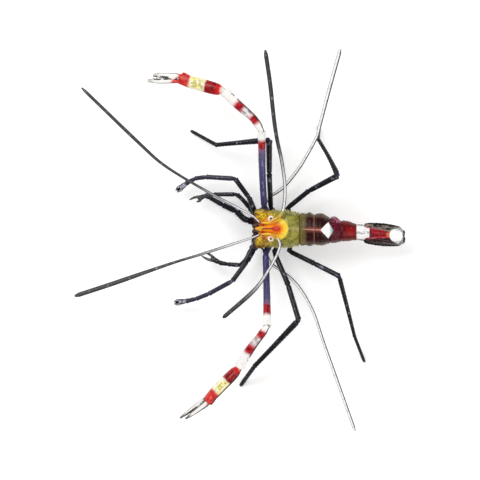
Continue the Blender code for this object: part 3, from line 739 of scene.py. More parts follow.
eye_paint = eye_finish()
for title, side in SIDES:
    low, high = corners(f"eye_{title}")
    middle = np.array([high.x, high.y if side > 0 else low.y, high.z]) - EYE_RADIUS * np.array([1, side, 1])
    root = np.array([low.x + 0.05, (low.y if side > 0 else high.y) + side * 0.05, low.z + 0.2])
    eye = Body()
    tube(eye, [(*root, 0.4), (*(root * 0.55 + middle * 0.45), 0.36), (*middle, 0.5)], 0.08, 28)
    ball(eye, middle, (EYE_RADIUS,) * 3, rings=36, sides=56)
    shown(eye.made(f"eye_{title}_ball", eye_paint), f"eye_{title}")

# ---------------------------------------------------------------------------------------------
# Feeler stalks: three short orange lengths each, stacked from the face up to where the two long
# feelers of a side begin, with a spine beside them. Below are the stout, thorny mustard stalks of
# the antennae, with two spines each.


def lengths(body, joints, groups, start=0.0, **shape):
    """Hard lengths one after another, each through a group of the joints."""
    for group in groups:
        start = article(body, [joints[i] for i in group], start=start, **shape)
    return start


IN_THREE = [(0, 1), (1, 2), (2, 3)]
peduncle_paint = flesh_finish("orange_stalks", (176, 50, 16), (246, 160, 44), (130, 16, 14))
stalk_paint = flesh_finish("mustard_stalks", (168, 116, 20), (232, 186, 50), (246, 226, 130))
for title, side in SIDES:
    low, high = corners(f"antennule_base_{title}")
    x, out, z = high.x - 0.55, 0.85, low.z + 0.35
    stalk = route(x, out, z, side, (0.5, -0.15, -0.3, 0.54), (-0.1, 0, 0.45, 0.5), (-0.45, 0.05, 1.05, 0.45))
    stalk.append(beside(x - 0.6, out + 0.2, high.z - 0.25, side, 0.4))
    peduncle = Body()
    lengths(peduncle, stalk, IN_THREE, near=0.8, sides=24, thorns=0.4)
    spine = (0.35, 0.45, 0, 0.22), (0, 0.75, 0.8, 0.12), (-0.2, 0.7, 1.5, 0.03)
    article(peduncle, route(x, out, z, side, *spine))
    shown(peduncle.made(f"antennule_stalk_{title}", peduncle_paint), f"antennule_base_{title}")

    low, high = corners(f"antenna_base_{title}")
    x, out, z = high.x - 0.5, 2.55, high.z - 0.6
    stalk = route(x, out, z, side, (0.5, 0, 0.1, 0.7), (-0.2, 0.35, -0.1, 0.66), (-0.55, 0.65, -0.4, 0.56))
    stalk.append(beside(x - 0.85, out + 0.95, low.z + 0.5, side, 0.48))
    stem = Body()
    lengths(stem, stalk, IN_THREE, near=0.8, sides=24, thorns=0.5)
    for lift, reach in ((0.45, 0.75), (-0.15, 0.55)):
        root = beside(x - 0.3, out + 0.7, z + lift * 0.6, side, 0.16)
        article(stem, [root, beside(x - 0.3 - reach, out + 0.95, z + lift, side, 0.03)])
    piece = shown(stem.made(f"antenna_stalk_{title}", stalk_paint), f"antenna_base_{title}")
    paint = thorn_finish(f"mustard_thorns_{title}", (190, 140, 40), (236, 210, 130))
    thorned(piece, f"antenna_stalk_{title}_thorns", paint, 20 + side, 0.32, 0.3, 0.05, 1.2)

# ---------------------------------------------------------------------------------------------
# Antennal scales: a thin leaf beside each stalk, its outer edge straight and toothed, its inner
# edge round and fringed with hairs. Blades like these also make up the tail fan.

SHIELD_MIDDLE = sum(corners("carapace"), Vector()) / 2
SAW_DEPTH = 0.1
LEAF_ROWS = 64
LEAF_SIDES = 64


def mesh_points(node):
    """A node's vertices in millimetres."""
    return np.array([v.co[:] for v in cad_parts[node].data.vertices]) / MM


class Blade:
    """A flat node's place, size and directions, read from its mesh, from root to tip."""

    def __init__(self, node):
        points = mesh_points(node)
        spread = points - points.mean(axis=0)
        axes = np.linalg.eigh(spread.T @ spread)[1].T
        outward = points.mean(axis=0) - np.array(SHIELD_MIDDLE)
        self.ahead = axes[2] * np.sign(axes[2][0] * outward[0])
        self.up = axes[0] * np.sign(axes[0][2])
        self.aside = np.cross(self.up, self.ahead) * np.sign(self.ahead[0])
        turned = points @ np.stack([self.ahead, self.aside, self.up], -1)
        low, high = turned.min(axis=0), turned.max(axis=0)
        middle = (low + high) / 2
        self.length, self.wide = high[0] - low[0], (high[1] - low[1]) / 2
        self.root = self.ahead * low[0] + self.aside * middle[1] + self.up * middle[2]

    def point(self, along, across, up):
        """A place on the blade: shares of its length and half width, and a height in millimetres."""
        return self.root + self.ahead * self.length * along + self.aside * self.wide * across + self.up * up

    def leaf(self, body, widths, ribs=(), teeth=0, thick=0.14, cup=0.25):
        """Adds a thin leaf. Widths are (share of length, right edge, left edge), the last two as
        shares of the half width, and a first share below 0 tucks the root in under the body. Ribs
        are (place across, half width, height). Teeth cut the right edge, or below 0 the left."""
        widths = np.array(widths).T
        c, s = circle(LEAF_SIDES)
        near, far = widths[0][0], widths[0][-1]
        rings = []
        for share in far - (far - near) * (1 - np.linspace(0, 1, LEAF_ROWS)) ** 1.3:
            right, left = (np.interp(share, widths[0], row) for row in widths[1:])
            saw = 1 + SAW_DEPTH * ((share * abs(teeth)) % 1) if teeth else 1
            edge = np.where(c > 0, right * (saw if teeth > 0 else 1), left * (saw if teeth < 0 else 1))
            height = thick * s * (1 - 0.6 * max(share, 0))
            for place, half, rise in ribs:
                ridge = np.clip(s, 0, 1) ** 0.3 * rise * np.exp(-(((c - place) / half) ** 2))
                height = height + ridge * (1 - share)
            height = height - cup * c * c * self.wide * 0.5
            across = np.outer(c * edge, self.aside * self.wide)
            rings.append(self.point(share, 0, 0) + across + np.outer(height, self.up))
        body.loft(rings)

    def edge(self, widths, low, high, cup=0.25, count=60):
        """Points along one edge, with the direction that a hair on it takes."""
        widths = np.array(widths).T
        points, lies = [], []
        for share in np.linspace(low, high, count):
            share, side = (share, 1) if share <= 1 else (2 - share, -1)
            across = side * np.interp(share, widths[0], widths[1 if side > 0 else 2])
            points.append(self.point(share, across, -cup * self.wide * 0.5))
            lies.append(self.aside * side * (1.15 - share) + self.ahead * (0.35 + share))
        return points, lies


def fringe_tree():
    """Hairs along a line, each lying the way that the line's attribute says, with a little stray."""
    grow = Growth("hair_fringe", "Spacing", "Length", "Radius", "Stray", "Seed")
    curve = grow.node("GeometryNodeMeshToCurve", None, {"Mesh": grow.given})
    sockets = {"Curve": curve, "Length": grow.given.also("Spacing")}
    points = grow.node("GeometryNodeResampleCurve", {"mode": "LENGTH"}, sockets)
    stray = grow.chance("FLOAT_VECTOR", (-1, -1, -1), (1, 1, 1))
    strayed = grow.vector("SCALE", stray, Scale=grow.given.also("Stray"))
    heading = grow.vector("ADD", grow.kept("lie", "FLOAT_VECTOR"), strayed)
    return grow.end(grow.cones(points, heading, 4, 0.7, 1.1))


def grown_along(tree, points, name, kept, **inputs):
    """What a tree makes of a bare line of edges, which is only there for this."""
    mesh = bpy.data.meshes.new(f"{name}_line")
    mesh.from_pydata([Vector(p) * MM for p in points], [(i, i + 1) for i in range(len(points) - 1)], [])
    for title, values in kept.items():
        keep(mesh, title, values)
    line = linked(f"{name}_line", mesh)
    piece = grown_from(tree, line, name, **inputs)
    bpy.data.objects.remove(line)
    return piece


HAIR_RADIUS = 0.022


def fringed(name, points, lies, length, seed, finish, spacing=0.12, stray=0.12):
    """Hairs along a line of points."""
    kept = {"lie": lies, "unwrap": np.linspace((0.5, 0, 0), (0.5, 1, 0), len(points))}
    sizes = {"Spacing": spacing, "Length": length, "Radius": HAIR_RADIUS, "Stray": stray}
    shown(grown_along(fringe, points, name, kept, Seed=seed, Finish=finish, **sizes))


def scale_finish():
    paint = Finish("mustard_scale")
    tip = corners("antennal_scale_right")[0].x
    paint.colour = paint.mix(paint.noise(1.6, 3.0).step(0.36, 0.62), (122, 78, 2), (236, 198, 36))
    paint.lay((paint.x + paint.noise(1.5)).step(tip + 1.5, tip + 0.3) * 0.8, (96, 66, 26))
    paint.lay((paint.across() + paint.noise(1.2)).step(3.2, 2.2) * 0.6, (232, 140, 24))
    paint.lay((paint.across() + paint.noise(1.2) * 0.8).step(3.8, 4.7) * 0.7, (92, 74, 26))
    paint.lay((paint.aside() + paint.noise(1.4)).step(-2.0, -3.6) * 0.5, (84, 52, 14))
    return paint.done(rough=0.3, height=paint.noise(4.0, 3.0), relief=0.05, coat=0.25)


SCALE_SHARES = [-0.45, 0, 0.2, 0.4, 0.6, 0.8, 0.93, 1]
SCALE_OUTER = [0.8, 0.95, 1.0, 1.02, 1.0, 0.92, 0.74, 0.36]
SCALE_INNER = [1.9, 2.05, 2.1, 2.0, 1.8, 1.4, 0.9, 0.3]
SCALE_TEETH = 6
fringe = fringe_tree()
scale_paint = scale_finish()
ochre_hair = thorn_finish("ochre_hair", (190, 150, 70), (230, 210, 150))
for title, side in SIDES:
    blade = Blade(f"antennal_scale_{title}")
    way = 1 if side * blade.aside[1] > 0 else -1
    widths = list(zip(SCALE_SHARES, *(SCALE_OUTER, SCALE_INNER)[::way]))
    leaf = Body()
    blade.leaf(leaf, widths, [(0.25 * way, 0.14, 0.12), (0.62 * way, 0.1, 0.08)], teeth=SCALE_TEETH * way)
    shown(leaf.made(f"antennal_leaf_{title}", scale_paint), f"antennal_scale_{title}")
    points, lies = blade.edge(widths, *((1.05, 1.9) if way > 0 else (0.1, 0.95)))
    fringed(f"antennal_leaf_{title}_hairs", points, lies, 0.6, 30 + side, ochre_hair)

# ---------------------------------------------------------------------------------------------
# Mouthparts: the jaw feet folded up under the face, two broad plates and two slim ones, dark
# brown and blunt in front, with hairs along their rims.

MOUTH_PLATE = [(0.8, 2.1, 6.9, 1.1), (-0.9, 2.3, 6.6, 1.15), (-2.2, 2.1, 6.3, 1.0), (-2.9, 1.7, 6.0, 0.55)]
MOUTH_SLIM = [(0.6, 0.7, 6.5, 0.85), (-1.6, 0.8, 6.2, 0.8), (-2.9, 0.6, 5.9, 0.55)]
mouth = Body()
for title, side in SIDES:
    for index, (joints, flat, prickly) in enumerate(((MOUTH_PLATE, 0.6, 0.5), (MOUTH_SLIM, 0.75, 0.0))):
        joints = route(head_front, 0, 0, side, *joints)
        article(mouth, joints, flat=flat, thorns=prickly, end=TIP)
        _, found, heading = Run(joints).even(0.2)
        rim = found[:, :3] - np.cross(heading, (0, 0, 1)) * side * found[:, 3:] * 0.9
        lies = heading * 0.9 + np.array([0, side * 0.5, -0.3])
        name = f"mouth_hairs_{title}_{index}"
        fringed(name, rim, lies, 0.55, 25 + index, ochre_hair, stray=0.3)
umber = flesh_finish("umber_mouthparts", (34, 16, 16), (104, 72, 62), (150, 112, 92))
shown(mouth.made("mouthparts", umber))

# ---------------------------------------------------------------------------------------------
# Abdomen: six rings of shell, each with a raised rear rim that laps over the next one's narrow
# front edge, and rounded side lobes that hang below. They are stretched over the trunk's solids.


def abdomen_finish():
    paint = Finish("banded_abdomen")
    edges = [corners(f"abdomen_{number}")[0].x for number in range(1, 7)]
    wander = (paint.noise(1.5) - 0.5) * 0.5
    x, out = paint.x + wander, paint.across() + wander * 0.5
    paint.colour = paint.mix(paint.noise(1.2, 4.0), (80, 70, 28), (128, 114, 62))
    flank = paint.mix(paint.noise(1.6), (50, 30, 18), (98, 76, 50))
    paint.lay(x.step(edges[1] - 0.7, edges[1] + 0.3), flank)

    saddle = x.step(edges[1] - 0.1, edges[1] + 0.4) * x.step(edges[3] + 0.2, edges[3] - 0.5)
    paint.lay(saddle * out.step(3.1, 2.5), paint.mix(out.step(0.7, 0.15), (84, 34, 22), (130, 66, 52)))
    join = edges[2]
    blotch = saddle * out.band(0.75, 2.8, 0.16) * abs(x - join).step(0.16, 0.42)
    paint.lay(blotch, paint.mix(paint.noise(3.0), (24, 0, 0), (62, 2, 6)))
    paint.lay(paint.x.band(join - 0.07, join + 0.05, 0.05) * 0.4, (200, 160, 150))

    purple = x.step(edges[3] - 0.4, edges[3] + 0.3)
    paint.lay(purple, paint.mix(paint.noise(2.2, 3.0).step(0.3, 0.7), (40, 0, 12), (116, 8, 46)))
    # Painted highlight: pink glints on the right flank of the purple ring.
    pink_highlight = purple * paint.aside().step(1.6, 2.4) * paint.noise(2.0).step(0.5, 0.62)
    paint.lay(pink_highlight * 0.8, (220, 120, 160))
    crimson = x.step(edges[4] - 0.3, edges[4] + 0.5)
    paint.lay(crimson, paint.mix(paint.noise(1.9), (56, 0, 6), (128, 0, 14)))
    paint.lay(x.band(edges[4] + 1.2, edges[5] - 0.35, 0.35) * out.step(1.4, 0.5), (142, 0, 8))

    tip, widest = edges[3] - 2.3, edges[3] - 0.45
    ragged = paint.across() + (paint.noise(2.4) - 0.5) * 0.35
    wedge = (paint.x - tip) * (1.85 / (widest - tip))
    diamond = (ragged - wedge).step(0.14, -0.1) * paint.x.step(tip - 0.1, tip + 0.1)
    diamond = diamond * (ragged + (paint.x - widest) * 1.5).step(2.1, 1.6)
    faded = 1 - 0.6 * paint.x.step(edges[3] + 0.1, edges[3] + 0.9)
    pearl = paint.mix(paint.x.step(edges[3] - 0.2, edges[3] + 0.5), (250, 249, 246), (150, 200, 200))
    paint.lay(diamond * faded, pearl)

    porcelain = paint.mix(paint.cells(1.5).step(0.16, 0.05), (248, 247, 244), (150, 146, 150))
    veins = abs(ragged - 0.2).step(0.3, 0.1) * paint.noise(1.1).step(0.46, 0.56)
    porcelain = paint.mix(veins * 0.8, porcelain, (150, 150, 160))
    porcelain = paint.mix(ragged.step(1.35, 1.75), porcelain, (116, 104, 104))
    paint.lay(paint.x.step(edges[5] - 0.2, edges[5] + 0.05), porcelain)
    stripe = out.step(0.22, 0.05) * x.step(edges[3] - 1.6, edges[3] - 2.2) * x.step(edges[0], edges[0] + 1.2)
    paint.lay(stripe * 0.6, (212, 168, 156))
    grain = paint.cells(4.5) * -0.5 + paint.noise(5.0, 3.0)
    return paint.done(rough=0.34, height=grain, relief=0.05, coat=0.08, flesh=0.04)


LOBE_RISE = 1.0
LOBE_HOLLOW = 1.9
LAST_TAPER = 0.36
FLANK_FLARE = {1: (0.1, 0.1), 2: (0.4, 0.25), 3: (0.5, 0.2), 4: (0.5, 0.05), 5: (0.2, 0), 6: (0, 0)}
SOMITE_ROWS = 16
SWELL = 0.025
CREASE_DEPTH = 0.018
CREASE_AT = 0.34
CREASE_WIDTH = 0.07
SOMITE_SIDES = 96
FRONT_RIM = [(-0.6, 0.8), (-0.55, 0.86), (-0.3, 0.9), (0.0, 0.94), (0.2, 0.975)]
REAR_RIM = [(-0.12, 1.02), (0.08, 1.035), (0.2, 1.025), (0.22, 0.99), (0.05, 0.95), (-0.3, 0.9), (-0.5, 0.8)]
ABDOMEN_SLOTS = {5: "red_shell", 6: "white_shell"}
abdomen_paint = abdomen_finish()
abdomen_thorn_paint = thorn_finish("pale_brown_thorns", (110, 70, 56), (200, 160, 140))
angles = np.linspace(0, 2 * math.pi, SOMITE_SIDES, endpoint=False)
c, s = np.cos(angles), np.sin(angles)
for number in range(1, 7):
    low, high = corners(f"abdomen_{number}")
    rows = [(low.x + x, grown) for x, grown in FRONT_RIM]
    for share in np.linspace(0.12, 0.86, SOMITE_ROWS):
        crease = CREASE_DEPTH * math.exp(-(((share - CREASE_AT) / CREASE_WIDTH) ** 2))
        swell = SWELL * math.sin(math.pi * share)
        rows.append((low.x + (high.x - low.x) * share, 0.995 + swell - crease))
    rows += [(high.x + x, grown) for x, grown in REAR_RIM]
    rings, growth = [], []
    for x, grown in rows:
        ring = trunk_surface(x, angles, grown=grown, hollow=LOBE_HOLLOW)
        share = (x - low.x) / (high.x - low.x)
        bulge = math.sin(math.pi * min(max(share, 0), 1)) ** 0.7 * np.abs(c) ** 3
        right, left = FLANK_FLARE[number]
        ring[:, 1] += bulge * np.where(c > 0, right, -left)
        if number == 6:
            ring[:, 1] -= (ring[:, 1] - midline(x)) * LAST_TAPER * ease((share - 0.5) / 0.35)
        rise = LOBE_RISE * abs(2 * share - 1) ** 3
        ring[:, 2] += np.clip(-s, 0, 1) ** 1.5 * rise * (np.abs(c) > 0.2)
        rings.append(ring)
        growth.append(np.where((s > -0.3) & (0.1 < share < 0.95), 0.5, 0))
    plate = Body()
    plate.loft(rings[::-1], thorns=growth[::-1])
    slot = ABDOMEN_SLOTS.get(number, "maroon_shell")
    somite = shown(plate.made(f"abdomen_ring_{number}", abdomen_paint), f"abdomen_{number}")
    thorned(somite, f"abdomen_thorns_{number}", abdomen_thorn_paint, number, 0.75, 0.24, 0.05, 1.6)

# ---------------------------------------------------------------------------------------------
# Underside: a plate across the thorax between the shield's hems, and five pairs of swimming legs
# under the abdomen. Each swimming leg is a short stem with two hairy leaves that hang backward.

PLATE_ROWS = 24
PLATE_SIDES = 40
PLATE_THICKNESS = 0.75
plate = Body()
depth = np.linspace(head_front + 0.3, shield_rear - 0.2, PLATE_ROWS)
belly = np.interp(depth, trunk[0], trunk[3])
middles = np.stack([depth, midline(depth), belly + 1.15 + 0.1 * np.cos(depth * 3.3)], -1)
backward = np.tile((1.0, 0.0, 0.0), (PLATE_ROWS, 1))
wide = 2.6 * np.sin(np.linspace(0.5, 2.7, PLATE_ROWS)) ** 0.4
plate.loft(hoops(middles, backward, wide, 0 * wide + PLATE_THICKNESS, PLATE_SIDES, 0.8))
under_paint = flesh_finish("olive_underside", (92, 92, 40), (150, 146, 84), (190, 186, 130))
shown(plate.made("thorax_plate", under_paint))


def paddle_finish():
    paint = Finish("rosy_paddles")
    paint.colour = paint.mix(paint.noise(1.6, 3.0), (120, 84, 76), (206, 160, 146))
    paint.lay(paint.kept("left").step(1.2, 0.2) * 0.6, (236, 214, 200))
    return paint.done(rough=0.35, height=paint.noise(4.0), relief=0.04, coat=0.4, flesh=0.3)


PADDLES = ((1.75, 0.75, 1.0), (1.1, 0.5, 0.82))
paddle_paint = paddle_finish()
paddle_hair = thorn_finish("pale_hair", (220, 206, 190), (240, 232, 222))
for number in range(1, 6):
    low, high = corners(f"abdomen_{number}")
    x = (low.x + high.x) / 2
    belly = np.interp(x, trunk[0], trunk[3])
    for title, side in SIDES:
        name = f"swimming_leg_{number}_{title}"
        paddle = Body()
        knee = beside(x + 0.25, 1.35, belly - 0.6, side, 0.3)
        gone = article(paddle, [beside(x, 1.3, belly + 0.9, side, 0.36), knee])
        leaves = []
        for out, swing, size in PADDLES:
            tip = beside(x + 0.25 + swing, out, low.z + 0.1 + (1 - size), side, 0.07)
            middle = (np.array(knee) * 0.5 + np.array(tip) * 0.5)[:3]
            joints = [(*knee[:3], 0.16), (*middle, 0.46 * size), tip]
            leaves.append(tube(paddle, joints, 0.1, flat=0.35, start=gone)[3:])
        shown(paddle.made(name, paddle_paint))
        for index, found in enumerate(leaves):
            points = found[:, :3] + np.array([0.3, 0, 0]) * found[:, 3:]
            lie = np.tile((0.5, 0.2 * side, -0.75), (len(points), 1))
            fringed(f"{name}_hairs_{index}", points, lie, 0.5, number, paddle_hair)

# ---------------------------------------------------------------------------------------------
# Tail fan: the tapered middle blade with two keels, and on each side an inner and an outer leaf
# with ribs, all with hairy rims. They are painted with one pattern that runs across the closed fan.


def fan_finish():
    paint = Finish("tail_fan")
    near = corners("telson")[0].x
    wander = (paint.noise(1.4) - 0.5) * 0.4
    x, out = paint.x + wander, paint.across() + wander * 0.4
    mottle = paint.noise(1.1, 3.0).step(0.3, 0.65)
    maroon = paint.mix(mottle, (20, 0, 0), (66, 18, 20))
    # The right leaves are a smoky grey-brown, paler than the maroon left ones; part of that paleness is a
    # painted sheen.
    smoke_and_sheen = paint.mix(mottle, (40, 34, 32), (146, 132, 120))
    paint.colour = paint.mix(paint.aside().step(-0.2, 0.2), maroon, smoke_and_sheen)
    paint.lay(paint.across().step(2.0, 2.2), (20, 18, 18))
    limit = 1.36 - (x - near) * 0.14
    ruby = paint.mix(paint.noise(1.4).step(0.35, 0.65), (90, 0, 10), (172, 0, 34))
    paint.lay((out - limit).step(0.12, -0.12), ruby)
    # Painted highlight: pink glints just inside the edges of the ruby middle blade.
    paint.lay((out - limit).band(-0.3, -0.08, 0.12) * paint.noise(0.9).step(0.45, 0.6) * 0.7, (236, 120, 150))
    paint.lay(paint.x.band(near + 3.9, near + 4.6, 0.3) * out.step(0.8, 0.3) * 0.6, (240, 130, 80))
    glass = paint.mix(paint.noise(1.5, 3.0).step(0.4, 0.6), (120, 118, 118), (214, 214, 212))
    paint.lay(paint.x.step(near + 5.6, near + 6.8) * paint.across().step(2.2, 1.7), glass)
    paint.lay((paint.x + paint.noise(1.2) * 0.4).step(near + 7.75, near + 8.1), (40, 40, 44))
    paint.lay(paint.spot(near + 6.1, 0.05, 1.5, 1.5, soft=0.14), (250, 250, 249))
    return paint.done(rough=0.28, height=paint.noise(3.0, 3.0), relief=0.04, coat=0.2, flesh=0.05)


FAN_TEETH = 9
FAN_CUP = 0.3
KEELED = [(0, 0.66), (0.08, 0.86), (0.3, 0.97), (0.55, 0.93), (0.8, 1), (0.95, 0.94), (1.06, 0.72),
          (1.11, 0.3)]
LEAVES = {
    "telson": {
        "widths": [(share, wide, wide) for share, wide in KEELED],
        "ribs": [(-0.36, 0.1, 0.2), (0.36, 0.1, 0.2)], "thick": 0.36, "slot": "red_shell",
    },
    "uropod_inner": {
        "widths": [(0, 0.3, 0.3), (0.2, 0.7, 0.7), (0.6, 1, 1), (0.8, 1, 1), (0.92, 0.8, 1.06),
                   (0.98, 0.5, 1.08), (1, 0.3, 1.02)],
        "ribs": [(0.0, 0.12, 0.14)], "thick": 0.16, "slot": "white_shell",
    },
    "uropod_outer": {
        "widths": [(-0.2, 0.3, 0.3), (-0.15, 0.72, 0.6), (-0.05, 0.86, 0.8), (0.2, 1, 1), (0.4, 1.02, 1),
                   (0.7, 0.9, 1), (0.9, 0.72, 0.9), (0.97, 0.5, 0.6), (1, 0.14, 0.2)],
        "ribs": [(0.1, 0.1, 0.16), (-0.2, 0.08, 0.1)], "thick": 0.18, "slot": "dark_fan",
    },
}
fan_paint = fan_finish()
rim_hair = thorn_finish("grey_rim_hair", (110, 106, 104), (200, 198, 196))
for kind, looks in LEAVES.items():
    for title, side in ((("", 0),) if kind == "telson" else (("_right", 1), ("_left", -1))):
        blade = Blade(kind + title)
        body = Body()
        widths = [(share, *(edges if side >= 0 else edges[::-1])) for share, *edges in looks["widths"]]
        teeth = side * FAN_TEETH if kind == "uropod_outer" else 0
        blade.leaf(body, widths, looks["ribs"], teeth, looks["thick"], FAN_CUP)
        if side:
            root = blade.point(0.04, 0, 0)
            socket = beside(root[0] - 1.5, 1.15, 7.7, side, 0.55)
            article(body, [socket, (*(root + np.array([0.25, 0, 0])), 0.5)], flat=0.7)
        else:
            ball(body, blade.point(-0.02, 0, 0), (0.7, 1.0, 0.5))
        shown(body.made(f"{kind}{title}_leaf", fan_paint), kind + title)
        points, lies = blade.edge(widths, *((0.35, 1.65) if side else (0.8, 1.2)), cup=FAN_CUP)
        fringed(f"{kind}{title}_hairs", points, lies, 0.42, 40 + side, rim_hair, spacing=0.09)

# ---------------------------------------------------------------------------------------------
# Walking legs and third maxillipeds: thin limbs of hard lengths, each held in the cup of the one
# before. The last two pairs are finely ringed beyond the knee and stand on small pointed toes;
# the first two end in little claws; the maxillipeds in front of them are flat and hairy.

FLAT_ENOUGH = 0.002
CAP_FACES = 6
RING_SIDES = 8
SPOILED = 1.4


def limb_rings(node):
    """Walks a tube-shaped node from the end nearest the body: each ring's centre, radius and points."""
    bm = bmesh.new()
    bm.from_mesh(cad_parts[node].data)
    bmesh.ops.remove_doubles(bm, verts=bm.verts, dist=1e-6)
    bmesh.ops.scale(bm, verts=bm.verts, vec=(1 / MM,) * 3)
    bm.normal_update()
    caps, seen = [], set()
    for face in bm.faces:
        if face in seen:
            continue
        patch = [face]
        seen.add(face)
        for one in patch:
            for other in {other for edge in one.edges for other in edge.link_faces} - seen:
                if other.normal.angle(face.normal, 3) < FLAT_ENOUGH:
                    seen.add(other)
                    patch.append(other)
        if len(patch) >= CAP_FACES:
            caps.append({vertex for one in patch for vertex in one.verts})
    layer = min(caps, key=lambda cap: (sum((v.co for v in cap), Vector()) / len(cap) - SHIELD_MIDDLE).length)
    done, rings = set(layer), []
    while layer:
        points = np.array([v.co[:] for v in sorted(layer, key=lambda v: v.index)])
        centre = points.mean(axis=0)
        rings.append((centre, np.linalg.norm(points - centre, axis=1).mean(), points))
        layer = {edge.other_vert(vertex) for vertex in layer for edge in vertex.link_edges} - done
        done |= layer
    bm.free()
    return rings


def knees(node):
    """A limb's joints as rows of x, y, z and radius, up to the first ring that is not whole."""
    joints = []
    for centre, radius, points in limb_rings(node):
        if len(points) < RING_SIDES or radius > SPOILED * (joints[-1][3] if joints else radius):
            break
        joints.append((*centre, radius))
    return joints


def stout(joints, factor, shift=(0, 0, 0)):
    """Joints with thicker flesh round them than their solid has, and moved if asked."""
    return [(*(np.array(joint[:3]) + shift), joint[3] * factor) for joint in joints]


HIP_OUT = 0.42


def hip(body, joint, thick):
    """The short lengths that join a limb to the underside of the thorax."""
    x, y = joint[0], joint[1]
    belly = np.interp(max(x, head_front + 0.4), trunk[0], trunk[3])
    inward = midline(x) + HIP_OUT * (y - midline(x))
    root = (max(x, head_front + 0.3), inward, belly + 0.7, thick)
    middle = ((root[0] + x) / 2, (inward * 0.55 + y * 0.45), (root[2] * 0.45 + joint[2] * 0.55) - 0.1, thick)
    gone = article(body, [root, middle], near=0.85, far=1.1)
    return article(body, [middle, joint], near=0.8, far=1.12, start=gone)


def limb_finish(name, dark, light, hand=None):
    """Dark skin with pale flecks, and pale streaks where it faces up that are painted highlights; paler at
    the joints and, if asked, pale on top of the hand, whose sides stay dark as painted shade.
    """
    paint = Finish(name)
    fleck_and_highlight = (176, 176, 200)
    paint.colour = paint.mix(paint.noise(0.9, 4.0), dark, light)
    paint.lay(paint.cells(2.1).step(0.2, 0.1) * paint.noise(0.5).step(0.45, 0.6) * 0.75, fleck_and_highlight)
    # Painted highlight: pale streaks only where the skin faces up.
    paint.lay(paint.noise(0.7).step(0.6, 0.72) * paint.facing().step(0.75, 0.95) * 0.5, fleck_and_highlight)
    paint.lay(paint.kept("end").step(0.5, 0.05) * 0.7, (70, 70, 104))
    if hand:
        # Painted light: the hand is pale only where it faces up, and its sides stay dark as painted shade. A
        # piece marked as facing between the fingers (the rod in the second pair's gape) is dark, as painted
        # shade.
        mottled = paint.mix(paint.noise(1.3).step(0.34, 0.6), light, hand)
        pale = paint.mix(paint.facing().step(0.7, 0.94), dark, mottled)
        paint.lay(paint.kept("left").step(3.6, 2.5), paint.mix(paint.kept("inner"), pale, dark))
    return paint.done(rough=0.32, height=paint.noise(4.0, 3.0), relief=0.05, coat=0.35, flesh=0.05)


GIRTH = {1: 1.25, 2: 1.18, 4: 1.14, 5: 1.12}
dark_leg = limb_finish("slate_legs", (6, 6, 10), (30, 30, 42))
leg_thorns = thorn_finish("slate_thorns", (40, 40, 54), (120, 120, 150))


def placed(body, name, finish, node, length=0.2, seed=5, thorn_paint=leg_thorns):
    """Makes a limb's piece and, unless it has no paint for them, the small thorns on it."""
    piece = shown(body.made(name, finish), node)
    if thorn_paint:
        thorned(piece, f"{name}_thorns", thorn_paint, seed, 0.55, length, 0.035, 1.5)


def thigh(number, title, groups, hip_girth, swell, prickly):
    """A leg's hip and its hard lengths above the knee. Swell thickens the first of them."""
    node = f"leg_{number}_{title}_upper"
    joints = stout(knees(node), GIRTH[number])
    joints[:2] = stout(joints[:2], swell)
    body = Body()
    lengths(body, joints, groups, hip(body, joints[0], hip_girth), thorns=prickly)
    placed(body, f"leg_{number}_{title}_thigh", dark_leg, node, seed=number)


SHIN_GIRTH = {(4, "right"): 1.3, (4, "left"): 1.42, (5, "right"): 1.15, (5, "left"): 1.05}
TOE_GIRTH = {(4, "right"): 1.0, (4, "left"): 1.22, (5, "right"): 1.0, (5, "left"): 0.92}
TOE = 1.5
TOE_LIFT = 0.36
TOE_RADIUS = 0.4
SOLE = 0.05
for number in (4, 5):
    for title, side in SIDES:
        thigh(number, title, IN_THREE, 0.75, 1.0, 0.35)
        node = f"leg_{number}_{title}_lower"
        shin = [joint for joint in stout(knees(node), SHIN_GIRTH[number, title]) if joint[2] > TOE]
        foot = mesh_points(node)
        foot = foot[foot[:, 2] < SOLE].mean(axis=0)
        last = np.array(shin[-1][:3])
        heel = last + (foot - last) * (1 - TOE / np.linalg.norm(foot - last))
        girth = TOE_GIRTH[number, title]
        tip = foot + np.array([0, 0, TOE_LIFT + 0.7 * max(girth - 1, 0)])
        toe = [(*heel, TOE_RADIUS), (*(heel * 0.5 + foot * 0.5), TOE_RADIUS), (*tip, 0.33)]
        toe = stout(toe, girth)
        body = Body()
        start = article(body, shin, ringed=0.1, thorns=0.2)
        ankle = (*heel, toe[0][3] * 1.05)
        start = article(body, [shin[-1], ankle], start=start, near=0.85, ringed=0.08, thorns=0.2)
        article(body, toe, start=start, near=0.9, far=1.0, end=TIP)
        placed(body, f"leg_{number}_{title}_shin", dark_leg, node, seed=number)

